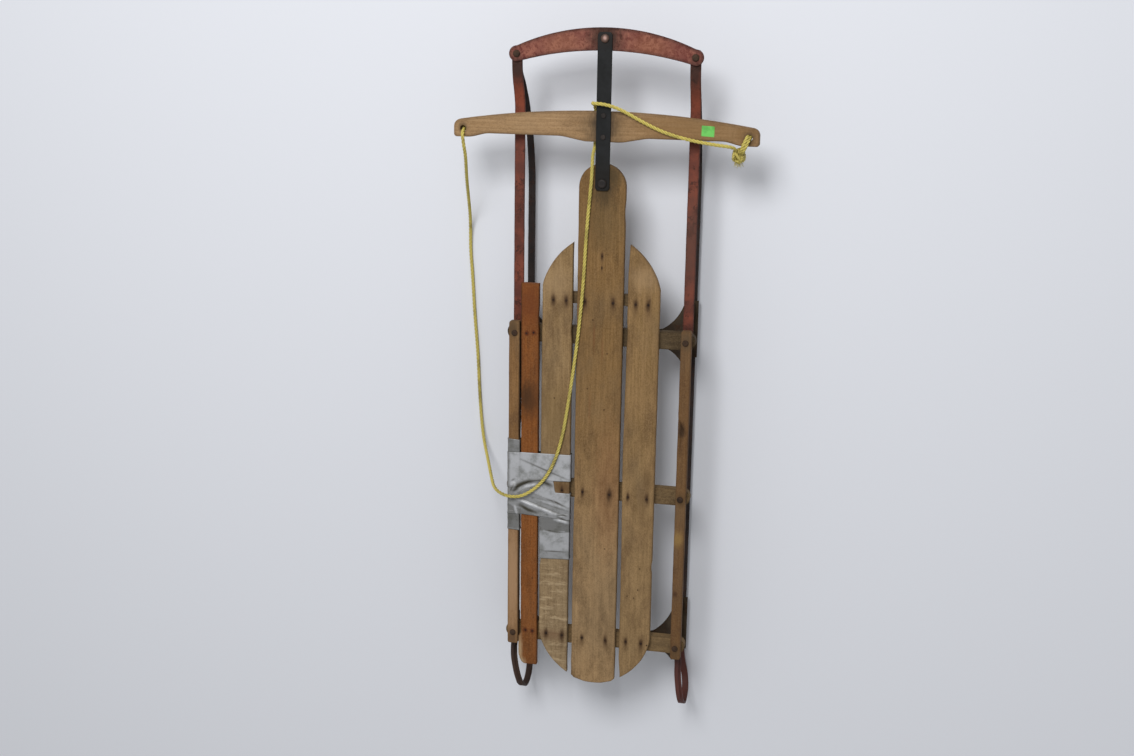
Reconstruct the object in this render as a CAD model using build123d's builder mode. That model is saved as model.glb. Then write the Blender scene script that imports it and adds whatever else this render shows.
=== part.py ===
# Steerable runner sled: a wooden deck of three boards on two steel runners,
# steered by a cross bar that shifts the front bumper and flexes the runners.
# Millimetres. X across, Y along with the front at +Y, Z up, the floor at Z = 0.
# The origin lies on the floor, in the middle of the sled.

import math
import os

from build123d import *

os.makedirs("parts", exist_ok=True)

# Overall size, and the places along it from the tails' rear end or the bumper's front
length = 1240
rear_bench_setback = 140
mid_bench_setback = 426
front_bench_setback = 711
cleat_setback = 778
bumper_bolt_depth = 18
bumper_rivet_depth = 46
steering_bar_depth = 174
nose_bolt_depth = 259
rear = -length / 2
front = length / 2
rear_bench_y = rear + rear_bench_setback
mid_bench_y = rear + mid_bench_setback
front_bench_y = rear + front_bench_setback
cleat_y = rear + cleat_setback
nose_bolt_y = front - nose_bolt_depth
steering_bar_y = front - steering_bar_depth
bumper_rivet_y = front - bumper_rivet_depth
bumper_bolt_y = front - bumper_bolt_depth
bench_places = (rear_bench_y, mid_bench_y, front_bench_y)
knee_places = (("rear", rear_bench_y), ("front", front_bench_y))
sides = (("left", -1), ("right", 1))

# Heights, stacked from the floor up
runner_height = 12
bench_bottom = 104
bench_thickness = 16
slat_thickness = 11
rail_thickness = 13
strap_thickness = 3
bumper_thickness = 4
bench_top = bench_bottom + bench_thickness
deck_top = bench_top + slat_thickness
rail_top = bench_top + rail_thickness
running_gap = 0.3
strap_bottom = deck_top + running_gap
strap_top = strap_bottom + strap_thickness
bumper_bottom = deck_top - bumper_thickness

# Fits shared by every fastener
hole_clearance = 0.4
rail_bolt_diameter = 5
nose_bolt_diameter = 8
bumper_bolt_diameter = 6
rivet_diameter = 6


def bored(diameter):
    """Radius of the hole that a shank of this diameter passes through."""
    return (diameter + hole_clearance) / 2


# Centre board of the deck
board_width = 82
board_nose_margin = 34
board_rear_overhang = 86
board_rear_bow = 9
wood_edge = 1.5
board_nose_y = nose_bolt_y + board_nose_margin
board_rear_y = rear_bench_y - board_rear_overhang

with BuildPart() as centre_board:
    with BuildSketch(Plane.XY.offset(bench_top)):
        with BuildLine():
            half = board_width / 2
            nose_start = board_nose_y - half
            rear_corner = board_rear_y + board_rear_bow
            Line((-half, rear_corner), (-half, nose_start))
            ThreePointArc((-half, nose_start), (0, board_nose_y), (half, nose_start))
            Line((half, nose_start), (half, rear_corner))
            ThreePointArc((half, rear_corner), (0, board_rear_y), (-half, rear_corner))
        make_face()
    extrude(amount=slat_thickness)
    fillet(centre_board.faces().sort_by(Axis.Z)[-1].edges(), wood_edge)
    with Locations((0, nose_bolt_y, deck_top)):
        Hole(bored(nose_bolt_diameter))
centre_board.part.label = "centre_board"
export_step(centre_board.part, "parts/centre_board.step")

# Side slats: the same board twice, its outer corners drawn in to the deck's oval. The left
# one is nailed down a little nearer to the centre board.
slat_gap = 10
left_slat_shift = 2
slat_width = 54
slat_front_overhang = 99
slat_shoulder_run = 77
slat_rear_overhang = 70
slat_heel_run = 76
slat_front_y = cleat_y + slat_front_overhang
slat_shoulder_y = slat_front_y - slat_shoulder_run
slat_rear_y = rear_bench_y - slat_rear_overhang
slat_heel_y = slat_rear_y + slat_heel_run
slat_inner_x = board_width / 2 + slat_gap
slat_outer_x = slat_inner_x + slat_width
left_slat_inner_x = slat_inner_x - left_slat_shift
left_slat_outer_x = slat_outer_x - left_slat_shift
front_corner_bulge = 9
rear_corner_bulge = 10


def bulged(first, second, bulge, outward):
    """Middle point of an arc that stands a bulge outside the line between two points."""
    run_x = second[0] - first[0]
    run_y = second[1] - first[1]
    run = math.hypot(run_x, run_y)
    middle_x = (first[0] + second[0]) / 2 - run_y / run * bulge * outward
    middle_y = (first[1] + second[1]) / 2 + run_x / run * bulge * outward
    return (middle_x, middle_y)


slat_places = (("left", -1, left_slat_inner_x, left_slat_outer_x), ("right", 1, slat_inner_x, slat_outer_x))
for side, sign, inner_x, outer_x in slat_places:
    inner_front = (sign * inner_x, slat_front_y)
    outer_front = (sign * outer_x, slat_shoulder_y)
    outer_rear = (sign * outer_x, slat_heel_y)
    inner_rear = (sign * inner_x, slat_rear_y)
    front_middle = bulged(inner_front, outer_front, front_corner_bulge, sign)
    rear_middle = bulged(outer_rear, inner_rear, rear_corner_bulge, sign)
    with BuildPart() as slat:
        with BuildSketch(Plane.XY.offset(bench_top)):
            with BuildLine():
                Line(inner_rear, inner_front)
                ThreePointArc(inner_front, front_middle, outer_front)
                Line(outer_front, outer_rear)
                ThreePointArc(outer_rear, rear_middle, inner_rear)
            make_face()
        extrude(amount=slat_thickness)
        fillet(slat.faces().sort_by(Axis.Z)[-1].edges(), wood_edge)
    slat.part.label = side + "_slat"
    export_step(slat.part, "parts/" + side + "_slat.step")

# Rails along both sides, rounded at the front end and bolted down over the runners
bench_half_span = 168
bench_bolt_margin = 16
rail_bolt_x = bench_half_span - bench_bolt_margin
rail_bolt_offset = 1
rail_width = 19
rail_front_overhang = 21
rail_rear_overhang = 22
rail_edge = 2.5
rail_nose_radius = 8
rail_x = rail_bolt_x + rail_bolt_offset
rail_front_y = front_bench_y + rail_front_overhang
rail_rear_y = rear_bench_y - rail_rear_overhang

for side, sign in sides:
    with BuildPart() as rail:
        with BuildSketch(Plane.XY.offset(bench_top)):
            with Locations((sign * rail_x, (rail_front_y + rail_rear_y) / 2)):
                Rectangle(rail_width, rail_front_y - rail_rear_y)
        extrude(amount=rail_thickness)
        front_edge = rail.faces().sort_by(Axis.Y)[-1].edges().sort_by(Axis.Z)[-1]
        fillet(front_edge, rail_nose_radius)
        fillet(rail.edges().filter_by(Axis.Y), rail_edge)
        for bench_y in bench_places:
            with Locations((sign * rail_bolt_x, bench_y, rail_top)):
                Hole(bored(rail_bolt_diameter))
    rail.part.label = side + "_rail"
    export_step(rail.part, "parts/" + side + "_rail.step")

# Repair board, laid a little askew beside the left rail over the three benches. A strip of
# its outer edge has split away ahead of the rear nails, and its rear outer corner is worn off.
repair_width = 30.5
repair_front_gap = 6
repair_lean = 2.5
repair_front_overhang = 90
repair_rear_overhang = 62
repair_strip_start = 55
repair_strip_end = 62
repair_strip_width = 4.9
repair_corner_width = 13
repair_corner_length = 26
repair_edge = 1
repair_front_y = front_bench_y + repair_front_overhang
repair_rear_y = rear_bench_y - repair_rear_overhang
repair_front_inner_x = left_slat_outer_x + repair_front_gap
repair_front_outer_x = repair_front_inner_x + repair_width
repair_rear_inner_x = repair_front_inner_x - repair_lean
repair_split_x = repair_front_outer_x - repair_lean
repair_rear_outer_x = repair_split_x + repair_strip_width

with BuildPart() as repair_board:
    with BuildSketch(Plane.XY.offset(bench_top)):
        with BuildLine():
            Polyline(
                (-repair_front_outer_x, repair_front_y),
                (-repair_split_x, repair_rear_y + repair_strip_end),
                (-repair_rear_outer_x, repair_rear_y + repair_strip_start),
                (-repair_rear_outer_x, repair_rear_y + repair_corner_length),
                (-repair_rear_outer_x + repair_corner_width, repair_rear_y),
                (-repair_rear_inner_x, repair_rear_y),
                (-repair_front_inner_x, repair_front_y),
                close=True,
            )
        make_face()
    extrude(amount=slat_thickness)
    fillet(repair_board.faces().sort_by(Axis.Z)[-1].edges(), repair_edge)
repair_board.part.label = "repair_board"
export_step(repair_board.part, "parts/repair_board.step")

# Benches: three crossbars with round ends, bored for the rail bolts
bench_depth = 31
bench_edge = 1.5

for name, bench_y in zip(("rear_bench", "mid_bench", "front_bench"), bench_places):
    with BuildPart() as bench:
        with BuildSketch(Plane.XY.offset(bench_bottom)):
            with Locations((0, bench_y)):
                SlotOverall(bench_half_span * 2, bench_depth)
        extrude(amount=bench_thickness)
        fillet(bench.faces().sort_by(Axis.Z)[0].edges(), bench_edge)
        with Locations((-rail_bolt_x, bench_y, bench_top), (rail_bolt_x, bench_y, bench_top)):
            Hole(bored(rail_bolt_diameter))
    bench.part.label = name
    export_step(bench.part, "parts/" + name + ".step")

# Front cleat under the three deck boards, ahead of the front bench
cleat_depth = 20
cleat_thickness = 12
cleat_end_margin = 7
cleat_half_span = slat_outer_x - cleat_end_margin

with BuildPart() as front_cleat:
    with BuildSketch(Plane.XY.offset(bench_top - cleat_thickness)):
        with Locations((0, cleat_y)):
            Rectangle(cleat_half_span * 2, cleat_depth)
    extrude(amount=cleat_thickness)
    fillet(front_cleat.faces().sort_by(Axis.Z)[0].edges(), bench_edge)
front_cleat.part.label = "front_cleat"
export_step(front_cleat.part, "parts/front_cleat.step")

# Runners: one steel T bar a side. Seen from the side its line runs from the tab under
# the bumper, down the long front curve, along the floor and round the curled tail.
runner_x = rail_bolt_x
flange_width = 12
flange_thickness = 4
stem_thickness = 4
front_radius = 270
tab_radius = 25
tab_pad_radius = 10
tab_half = 12
tab_front_y = bumper_rivet_y + tab_half
tab_start_y = bumper_rivet_y - tab_half
tail_leg_front_y = rear_bench_y + bench_depth
side_bar_thickness = 4
tab_top = bumper_bottom - side_bar_thickness
tail_leg_bottom = bench_bottom - flange_thickness
tail_radius = (tail_leg_bottom - runner_height) / 2
tail_centre_y = rear + tail_radius + flange_thickness
tail_centre_z = runner_height + tail_radius
front_rise = tab_top - runner_height
front_turn = math.acos(1 - front_rise / (front_radius + tab_radius))
front_centre_y = tab_start_y - (front_radius + tab_radius) * math.sin(front_turn)
front_centre_z = runner_height + front_radius
stem_front_turn = math.radians(40)
stem_tail_turn = math.radians(45)


def front_point(offset, turn):
    """Point on the front curve, offset outward from the flange's inner face."""
    radius = front_radius + offset
    return (front_centre_y + radius * math.sin(turn), front_centre_z - radius * math.cos(turn))


def tail_point(offset, turn):
    """Point on the tail curl, turned back and up from the floor."""
    radius = tail_radius + offset
    return (tail_centre_y - radius * math.sin(turn), tail_centre_z - radius * math.cos(turn))


def flange_line(offset):
    """The flange's side line at an offset, from the tab to the end of the tail's upper leg."""
    tab_z = tab_top - offset
    leg_z = tail_leg_bottom + offset
    tab_arc = tab_radius - offset
    tab_centre_z = tab_top - tab_radius
    tab_middle = (
        tab_start_y - tab_arc * math.sin(front_turn / 2),
        tab_centre_z + tab_arc * math.cos(front_turn / 2),
    )
    Line((tab_front_y, tab_z), (tab_start_y, tab_z))
    front_start = front_point(offset, front_turn)
    ThreePointArc((tab_start_y, tab_z), tab_middle, front_start)
    ThreePointArc(front_start, front_point(offset, front_turn / 2), front_point(offset, 0))
    Line(front_point(offset, 0), tail_point(offset, 0))
    ThreePointArc(tail_point(offset, 0), tail_point(offset, math.pi / 2), (tail_centre_y, leg_z))
    Line((tail_centre_y, leg_z), (tail_leg_front_y, leg_z))


for side, sign in sides:
    with BuildPart() as runner:
        with BuildSketch(Plane.YZ.offset(sign * runner_x)):
            with BuildLine():
                flange_line(0)
                flange_line(flange_thickness)
                Line((tab_front_y, tab_top), (tab_front_y, tab_top - flange_thickness))
                Line((tail_leg_front_y, tail_leg_bottom), (tail_leg_front_y, bench_bottom))
            make_face()
        extrude(amount=flange_width / 2, both=True)
        with BuildSketch(Plane.YZ.offset(sign * runner_x)):
            with BuildLine():
                root_offset = flange_thickness / 2
                tip_offset = runner_height
                for offset in (root_offset, tip_offset):
                    ThreePointArc(
                        front_point(offset, stem_front_turn),
                        front_point(offset, stem_front_turn / 2),
                        front_point(offset, 0),
                    )
                    Line(front_point(offset, 0), tail_point(offset, 0))
                    ThreePointArc(
                        tail_point(offset, 0),
                        tail_point(offset, stem_tail_turn / 2),
                        tail_point(offset, stem_tail_turn),
                    )
                Line(front_point(root_offset, stem_front_turn), front_point(tip_offset, stem_front_turn))
                Line(tail_point(root_offset, stem_tail_turn), tail_point(tip_offset, stem_tail_turn))
            make_face()
        extrude(amount=stem_thickness / 2, both=True)
        with BuildSketch(Plane.XY.offset(tab_top)):
            with Locations((sign * runner_x, bumper_rivet_y)):
                Circle(tab_pad_radius)
        extrude(amount=-flange_thickness)
        with Locations((sign * runner_x, bumper_rivet_y, tab_top)):
            Hole(bored(rivet_diameter), depth=flange_thickness * 2)
        with Locations((sign * runner_x, rear_bench_y, bench_bottom)):
            Hole(bored(rail_bolt_diameter), depth=flange_thickness * 2)
    runner.part.label = side + "_runner"
    export_step(runner.part, "parts/" + side + "_runner.step")

# Side bars: flat steel from under the front bench to the bumper, with a rise near the front
side_bar_width = 18
side_bar_end_radius = 8
side_bar_bolt_margin = 21
side_bar_rise_run = 90
side_bar_rear_y = front_bench_y - side_bar_bolt_margin
side_bar_rise_y = tab_start_y - side_bar_rise_run
side_bar_rise = bumper_bottom - bench_bottom
side_bar_turn = 2 * math.atan(side_bar_rise / side_bar_rise_run)
side_bar_arc = side_bar_rise_run / 2 / math.sin(side_bar_turn)


def side_bar_line(offset):
    """The side bar's line at an offset below its upper face."""
    low_z = bench_bottom - offset
    high_z = bumper_bottom - offset
    rise_middle = (
        side_bar_rise_y + (side_bar_arc + offset) * math.sin(side_bar_turn),
        bench_bottom + side_bar_arc - (side_bar_arc + offset) * math.cos(side_bar_turn),
    )
    low_middle = (
        side_bar_rise_y + (side_bar_arc + offset) * math.sin(side_bar_turn / 2),
        bench_bottom + side_bar_arc - (side_bar_arc + offset) * math.cos(side_bar_turn / 2),
    )
    high_middle = (
        tab_start_y - (side_bar_arc - offset) * math.sin(side_bar_turn / 2),
        bumper_bottom - side_bar_arc + (side_bar_arc - offset) * math.cos(side_bar_turn / 2),
    )
    Line((side_bar_rear_y, low_z), (side_bar_rise_y, low_z))
    ThreePointArc((side_bar_rise_y, low_z), low_middle, rise_middle)
    ThreePointArc(rise_middle, high_middle, (tab_start_y, high_z))
    Line((tab_start_y, high_z), (tab_front_y, high_z))


for side, sign in sides:
    with BuildPart() as side_bar:
        with BuildSketch(Plane.YZ.offset(sign * runner_x)):
            with BuildLine():
                side_bar_line(0)
                side_bar_line(side_bar_thickness)
                Line((side_bar_rear_y, bench_bottom), (side_bar_rear_y, bench_bottom - side_bar_thickness))
                Line((tab_front_y, bumper_bottom), (tab_front_y, bumper_bottom - side_bar_thickness))
            make_face()
        extrude(amount=side_bar_width / 2, both=True)
        fillet(side_bar.edges().filter_by(Axis.Z), side_bar_end_radius)
        with Locations((sign * runner_x, bumper_rivet_y, bumper_bottom)):
            Hole(bored(rivet_diameter), depth=side_bar_thickness * 2)
        with Locations((sign * rail_bolt_x, front_bench_y, bench_bottom)):
            Hole(bored(rail_bolt_diameter), depth=side_bar_thickness * 2)
    side_bar.part.label = side + "_side_bar"
    export_step(side_bar.part, "parts/" + side + "_side_bar.step")

# Knees: pressed steel arches from the bench down to the runner, flared like a foot
knee_thickness = 3
knee_reach = 92
knee_bend_reach = 57
knee_flare_start_reach = 46
knee_flare_end_reach = 14
knee_flare_hollow = 5
knee_foot_half = 52
knee_seat_x = runner_x - knee_reach
knee_bend_x = runner_x - knee_bend_reach
knee_flare_start_x = runner_x - knee_flare_start_reach
knee_flare_end_x = runner_x - knee_flare_end_reach
knee_wall_x = runner_x - flange_width / 2 + knee_thickness
knee_half_width = bench_depth / 2


def knee_arch(sign, inset):
    """Side view of the knee's face at an inset, from its seat over the bend to the runner."""
    top_z = bench_bottom - inset
    wall_x = knee_wall_x - inset
    middle_x = knee_bend_x + (wall_x - knee_bend_x) * math.sin(math.pi / 4)
    middle_z = runner_height + (top_z - runner_height) * math.cos(math.pi / 4)
    Line((sign * knee_seat_x, top_z), (sign * knee_bend_x, top_z))
    ThreePointArc((sign * knee_bend_x, top_z), (sign * middle_x, middle_z), (sign * wall_x, runner_height))


for place, knee_y in knee_places:
    for side, sign in sides:
        with BuildPart() as knee:
            with BuildSketch(Plane.XZ.offset(-knee_y)):
                with BuildLine():
                    knee_arch(sign, 0)
                    knee_arch(sign, knee_thickness)
                    inner_wall_x = knee_wall_x - knee_thickness
                    seat_x = sign * knee_seat_x
                    Line((sign * knee_wall_x, runner_height), (sign * inner_wall_x, runner_height))
                    Line((seat_x, bench_bottom - knee_thickness), (seat_x, bench_bottom))
                make_face()
            extrude(amount=knee_foot_half, both=True)
            with BuildSketch(Plane.XY.offset(runner_height)):
                with Locations((sign * runner_x, knee_y)):
                    Rectangle(flange_width, knee_foot_half * 2)
            extrude(amount=knee_thickness)
            with BuildSketch(Plane.XY.offset(runner_height)):
                with BuildLine():
                    foot_x = sign * (runner_x + flange_width)
                    for edge in (-1, 1):
                        narrow = (sign * knee_flare_start_x, knee_y + edge * knee_half_width)
                        wide = (sign * knee_flare_end_x, knee_y + edge * knee_foot_half)
                        Line((seat_x, narrow[1]), narrow)
                        ThreePointArc(narrow, bulged(narrow, wide, -knee_flare_hollow, edge * sign), wide)
                        Line(wide, (foot_x, wide[1]))
                    Line((seat_x, knee_y - knee_half_width), (seat_x, knee_y + knee_half_width))
                    Line((foot_x, knee_y - knee_foot_half), (foot_x, knee_y + knee_foot_half))
                make_face()
            extrude(amount=bench_top, mode=Mode.INTERSECT)
        knee.part.label = place + "_" + side + "_knee"
        export_step(knee.part, "parts/" + place + "_" + side + "_knee.step")

# Rail bolts: round heads on the rails, nuts under the benches
bolt_head_radius = 5.5
bolt_head_height = 3
nut_radius = 4.6
nut_height = 4
head_dome_share = 0.8

for side, sign in sides:
    with BuildPart() as rail_bolts:
        for bench_y, seat_z in (
            (rear_bench_y, tail_leg_bottom),
            (mid_bench_y, bench_bottom),
            (front_bench_y, bench_bottom - side_bar_thickness),
        ):
            with BuildSketch(Plane.XY.offset(seat_z - nut_height)):
                with Locations((sign * rail_bolt_x, bench_y)):
                    RegularPolygon(nut_radius, 6)
            extrude(amount=nut_height)
            with BuildSketch(Plane.XY.offset(seat_z)):
                with Locations((sign * rail_bolt_x, bench_y)):
                    Circle(rail_bolt_diameter / 2)
            extrude(amount=rail_top - seat_z)
            with BuildSketch(Plane.XY.offset(rail_top)):
                with Locations((sign * rail_bolt_x, bench_y)):
                    Circle(bolt_head_radius)
            extrude(amount=bolt_head_height)
        heads = rail_bolts.faces().filter_by(Axis.Z).group_by(Axis.Z)[-1]
        fillet(heads.edges(), bolt_head_height * head_dome_share)
    rail_bolts.part.label = side + "_rail_bolts"
    export_step(rail_bolts.part, "parts/" + side + "_rail_bolts.step")

# Bumper: a flat steel crescent riveted to both side bars and runners
bumper_depth = 38
bumper_front_bow = 32.5
bumper_rear_bow = 21.5
bumper_end_radius = 13.5
bumper_edge = 1

with BuildPart() as bumper:
    with BuildSketch(Plane.XY.offset(bumper_bottom)):
        with BuildLine():
            front_corner_y = front - bumper_front_bow
            rear_middle_y = front - bumper_depth
            rear_corner_y = rear_middle_y - bumper_rear_bow
            end_x = runner_x + bumper_end_radius
            ThreePointArc((-runner_x, front_corner_y), (0, front), (runner_x, front_corner_y))
            ThreePointArc((runner_x, front_corner_y), (end_x, bumper_rivet_y), (runner_x, rear_corner_y))
            ThreePointArc((runner_x, rear_corner_y), (0, rear_middle_y), (-runner_x, rear_corner_y))
            ThreePointArc((-runner_x, rear_corner_y), (-end_x, bumper_rivet_y), (-runner_x, front_corner_y))
        make_face()
    extrude(amount=bumper_thickness)
    fillet(bumper.faces().sort_by(Axis.Z)[-1].edges(), bumper_edge)
    with Locations((-runner_x, bumper_rivet_y, deck_top), (runner_x, bumper_rivet_y, deck_top)):
        Hole(bored(rivet_diameter))
    with Locations((0, bumper_bolt_y, deck_top)):
        Hole(bored(bumper_bolt_diameter))
bumper.part.label = "bumper"
export_step(bumper.part, "parts/bumper.step")

# Bumper rivets, each through the bumper, a side bar and a runner's tab
rivet_head_radius = 6
rivet_head_height = 3.5
rivet_foot_radius = 5
rivet_foot_height = 3

with BuildPart() as bumper_rivets:
    for side, sign in sides:
        with BuildSketch(Plane.XY.offset(tab_top - flange_thickness - rivet_foot_height)):
            with Locations((sign * runner_x, bumper_rivet_y)):
                Circle(rivet_foot_radius)
        extrude(amount=rivet_foot_height)
        with BuildSketch(Plane.XY.offset(tab_top - flange_thickness)):
            with Locations((sign * runner_x, bumper_rivet_y)):
                Circle(rivet_diameter / 2)
        extrude(amount=deck_top - tab_top + flange_thickness)
        with BuildSketch(Plane.XY.offset(deck_top)):
            with Locations((sign * runner_x, bumper_rivet_y)):
                Circle(rivet_head_radius)
        extrude(amount=rivet_head_height)
    heads = bumper_rivets.faces().filter_by(Axis.Z).group_by(Axis.Z)[-1]
    fillet(heads.edges(), rivet_head_height * head_dome_share)
bumper_rivets.part.label = "bumper_rivets"
export_step(bumper_rivets.part, "parts/bumper_rivets.step")

# Steering strap: flat steel from the deck's nose to the bumper, over the steering bar.
# Its front hole is a short slot, because the strap swings while the bumper slides.
strap_width = 25
strap_front_margin = 10.5
strap_front_y = bumper_bolt_y + strap_front_margin
strap_rear_y = nose_bolt_y - strap_width / 2
strap_slot_travel = 3
strap_slot_side_clearance = 0.5
strap_rivet_diameter = 5
strap_rivet_rear_offset = 7
strap_rivet_front_offset = 29
strap_rivet_places = (steering_bar_y - strap_rivet_rear_offset, steering_bar_y + strap_rivet_front_offset)

with BuildPart() as steering_strap:
    with BuildSketch(Plane.XY.offset(strap_bottom)):
        with Locations((0, (strap_front_y + strap_rear_y) / 2)):
            SlotOverall(strap_front_y - strap_rear_y, strap_width, rotation=90)
    extrude(amount=strap_thickness)
    with Locations((0, nose_bolt_y, strap_top)):
        Hole(bored(nose_bolt_diameter))
    for rivet_y in strap_rivet_places:
        with Locations((0, rivet_y, strap_top)):
            Hole(bored(strap_rivet_diameter))
    slot_width = bumper_bolt_diameter + 2 * strap_slot_side_clearance
    with BuildSketch(Plane.XY.offset(strap_bottom)):
        with Locations((0, bumper_bolt_y)):
            SlotCenterToCenter(strap_slot_travel * 2, slot_width, rotation=90)
    extrude(amount=strap_thickness, mode=Mode.SUBTRACT)
steering_strap.part.label = "steering_strap"
export_step(steering_strap.part, "parts/steering_strap.step")

# Steering bar: a wooden yoke with a belly under the strap and a rope hole in each end
bar_thickness = 16
bar_half_span = 263
bar_hole_margin = 17
bar_swell_margin = 31
bar_waist_margin = 57
bar_hole_radius = 5.5
bar_front_depth = 36
bar_tip_front_depth = 14
bar_tip_rear_depth = 14.5
bar_waist_depth = 7.5
bar_belly_depth = 15.5
bar_belly_half = 32
bar_waist_inner_x = 74
bar_front_y = steering_bar_y + bar_front_depth
bar_tip_front_y = steering_bar_y + bar_tip_front_depth
bar_tip_rear_y = steering_bar_y - bar_tip_rear_depth
bar_waist_y = steering_bar_y - bar_waist_depth
bar_belly_y = steering_bar_y - bar_belly_depth
bar_hole_x = bar_half_span - bar_hole_margin
bar_swell_x = bar_half_span - bar_swell_margin
bar_waist_outer_x = bar_half_span - bar_waist_margin
bar_tip_front_fillet = 13
bar_tip_rear_fillet = 5
bar_flow_fillet = 60
bar_edge = 3
bar_bottom = strap_bottom - bar_thickness

with BuildPart() as steering_bar:
    with BuildSketch(Plane.XY.offset(bar_bottom)):
        with BuildLine():
            left_tip = (-bar_half_span, bar_tip_front_y)
            right_tip = (bar_half_span, bar_tip_front_y)
            ThreePointArc(left_tip, (0, bar_front_y), right_tip)
            Polyline(
                right_tip,
                (bar_half_span, bar_tip_rear_y),
                (bar_swell_x, bar_tip_rear_y),
                (bar_waist_outer_x, bar_waist_y),
                (bar_waist_inner_x, bar_waist_y),
                (bar_belly_half, bar_belly_y),
                (-bar_belly_half, bar_belly_y),
                (-bar_waist_inner_x, bar_waist_y),
                (-bar_waist_outer_x, bar_waist_y),
                (-bar_swell_x, bar_tip_rear_y),
                (-bar_half_span, bar_tip_rear_y),
                left_tip,
            )
        make_face()
    extrude(amount=bar_thickness)
    uprights = steering_bar.edges().filter_by(Axis.Z)
    tips = uprights.filter_by(lambda edge: abs(edge.center().X) > bar_hole_x)
    fillet(tips.filter_by(lambda edge: edge.center().Y > steering_bar_y), bar_tip_front_fillet)
    uprights = steering_bar.edges().filter_by(Axis.Z)
    tips = uprights.filter_by(lambda edge: abs(edge.center().X) > bar_hole_x)
    fillet(tips.filter_by(lambda edge: edge.center().Y < steering_bar_y), bar_tip_rear_fillet)
    uprights = steering_bar.edges().filter_by(Axis.Z)
    bends = uprights.filter_by(lambda edge: abs(edge.center().X) < bar_swell_x + 1)
    fillet(bends, bar_flow_fillet)
    fillet(steering_bar.faces().filter_by(Axis.Z).edges(), bar_edge)
    with Locations((-bar_hole_x, steering_bar_y, strap_bottom), (bar_hole_x, steering_bar_y, strap_bottom)):
        Hole(bar_hole_radius)
    for rivet_y in strap_rivet_places:
        with Locations((0, rivet_y, strap_bottom)):
            Hole(bored(strap_rivet_diameter))
steering_bar.part.label = "steering_bar"
export_step(steering_bar.part, "parts/steering_bar.step")

# Strap rivets, through the strap and the steering bar
strap_rivet_head_radius = 4.5
strap_rivet_head_height = 2

with BuildPart() as strap_rivets:
    for rivet_y in strap_rivet_places:
        with BuildSketch(Plane.XY.offset(bar_bottom - strap_rivet_head_height)):
            with Locations((0, rivet_y)):
                Circle(strap_rivet_head_radius)
        extrude(amount=strap_rivet_head_height)
        with BuildSketch(Plane.XY.offset(bar_bottom)):
            with Locations((0, rivet_y)):
                Circle(strap_rivet_diameter / 2)
        extrude(amount=strap_top - bar_bottom)
        with BuildSketch(Plane.XY.offset(strap_top)):
            with Locations((0, rivet_y)):
                Circle(strap_rivet_head_radius)
        extrude(amount=strap_rivet_head_height)
    heads = strap_rivets.faces().filter_by(Axis.Z).group_by(Axis.Z)[-1]
    fillet(heads.edges(), strap_rivet_head_height * head_dome_share)
strap_rivets.part.label = "strap_rivets"
export_step(strap_rivets.part, "parts/strap_rivets.step")

# Nose bolt, the pivot of the steering: a round head, a washer and a nut under the board
nose_head_radius = 8
pivot_head_height = 4
nose_washer_radius = 10
pivot_washer_thickness = 1.6
nose_nut_radius = 7.2
bumper_head_radius = 7
bumper_washer_radius = 8
bumper_nut_radius = 5.6
pivot_nut_height = 6
nose_sizes = (nose_bolt_diameter, nose_head_radius, nose_washer_radius, nose_nut_radius)
bumper_sizes = (bumper_bolt_diameter, bumper_head_radius, bumper_washer_radius, bumper_nut_radius)
pivot_bolts = (
    ("nose_bolt", nose_bolt_y, bench_top, nose_sizes),
    ("bumper_bolt", bumper_bolt_y, bumper_bottom, bumper_sizes),
)

for name, bolt_y, seat_z, (shank_diameter, head_radius, washer_radius, hex_radius) in pivot_bolts:
    head_seat_z = strap_top + running_gap
    washer_z = seat_z - pivot_washer_thickness
    with BuildPart() as pivot_bolt:
        with BuildSketch(Plane.XY.offset(washer_z - pivot_nut_height)):
            with Locations((0, bolt_y)):
                RegularPolygon(hex_radius, 6)
        extrude(amount=pivot_nut_height)
        with BuildSketch(Plane.XY.offset(washer_z)):
            with Locations((0, bolt_y)):
                Circle(washer_radius)
        extrude(amount=pivot_washer_thickness)
        with BuildSketch(Plane.XY.offset(seat_z)):
            with Locations((0, bolt_y)):
                Circle(shank_diameter / 2)
        extrude(amount=head_seat_z - seat_z)
        with BuildSketch(Plane.XY.offset(head_seat_z)):
            with Locations((0, bolt_y)):
                Circle(head_radius)
        extrude(amount=pivot_head_height)
        fillet(pivot_bolt.faces().sort_by(Axis.Z)[-1].edges(), pivot_head_height * head_dome_share)
    pivot_bolt.part.label = name
    export_step(pivot_bolt.part, "parts/" + name + ".step")

# Repair tape: thin sleeves wound round the left rail, the repair board and the left slat
tape_thickness = 0.6
tape_fit = 0.1
tape_inside = 2 * tape_fit
tape_outside = 2 * (tape_fit + tape_thickness)
tape_rail_front_reach = 90
tape_rail_rear_reach = 82
tape_front_band_reach = 66
tape_rear_band_reach = 55
tape_slat_rear_reach = 133
tape_bench_gap = 1
tape_rail_front_y = mid_bench_y + tape_rail_front_reach
tape_rail_rear_y = mid_bench_y - tape_rail_rear_reach
tape_front_band_y = mid_bench_y + tape_front_band_reach
tape_rear_band_y = mid_bench_y - tape_rear_band_reach
tape_slat_rear_y = mid_bench_y - tape_slat_rear_reach
tape_front_edge_y = mid_bench_y + bench_depth / 2 + tape_bench_gap
tape_rear_edge_y = mid_bench_y - bench_depth / 2 - tape_bench_gap
rail_outer_x = rail_x + rail_width / 2
rail_inner_x = rail_x - rail_width / 2


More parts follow.
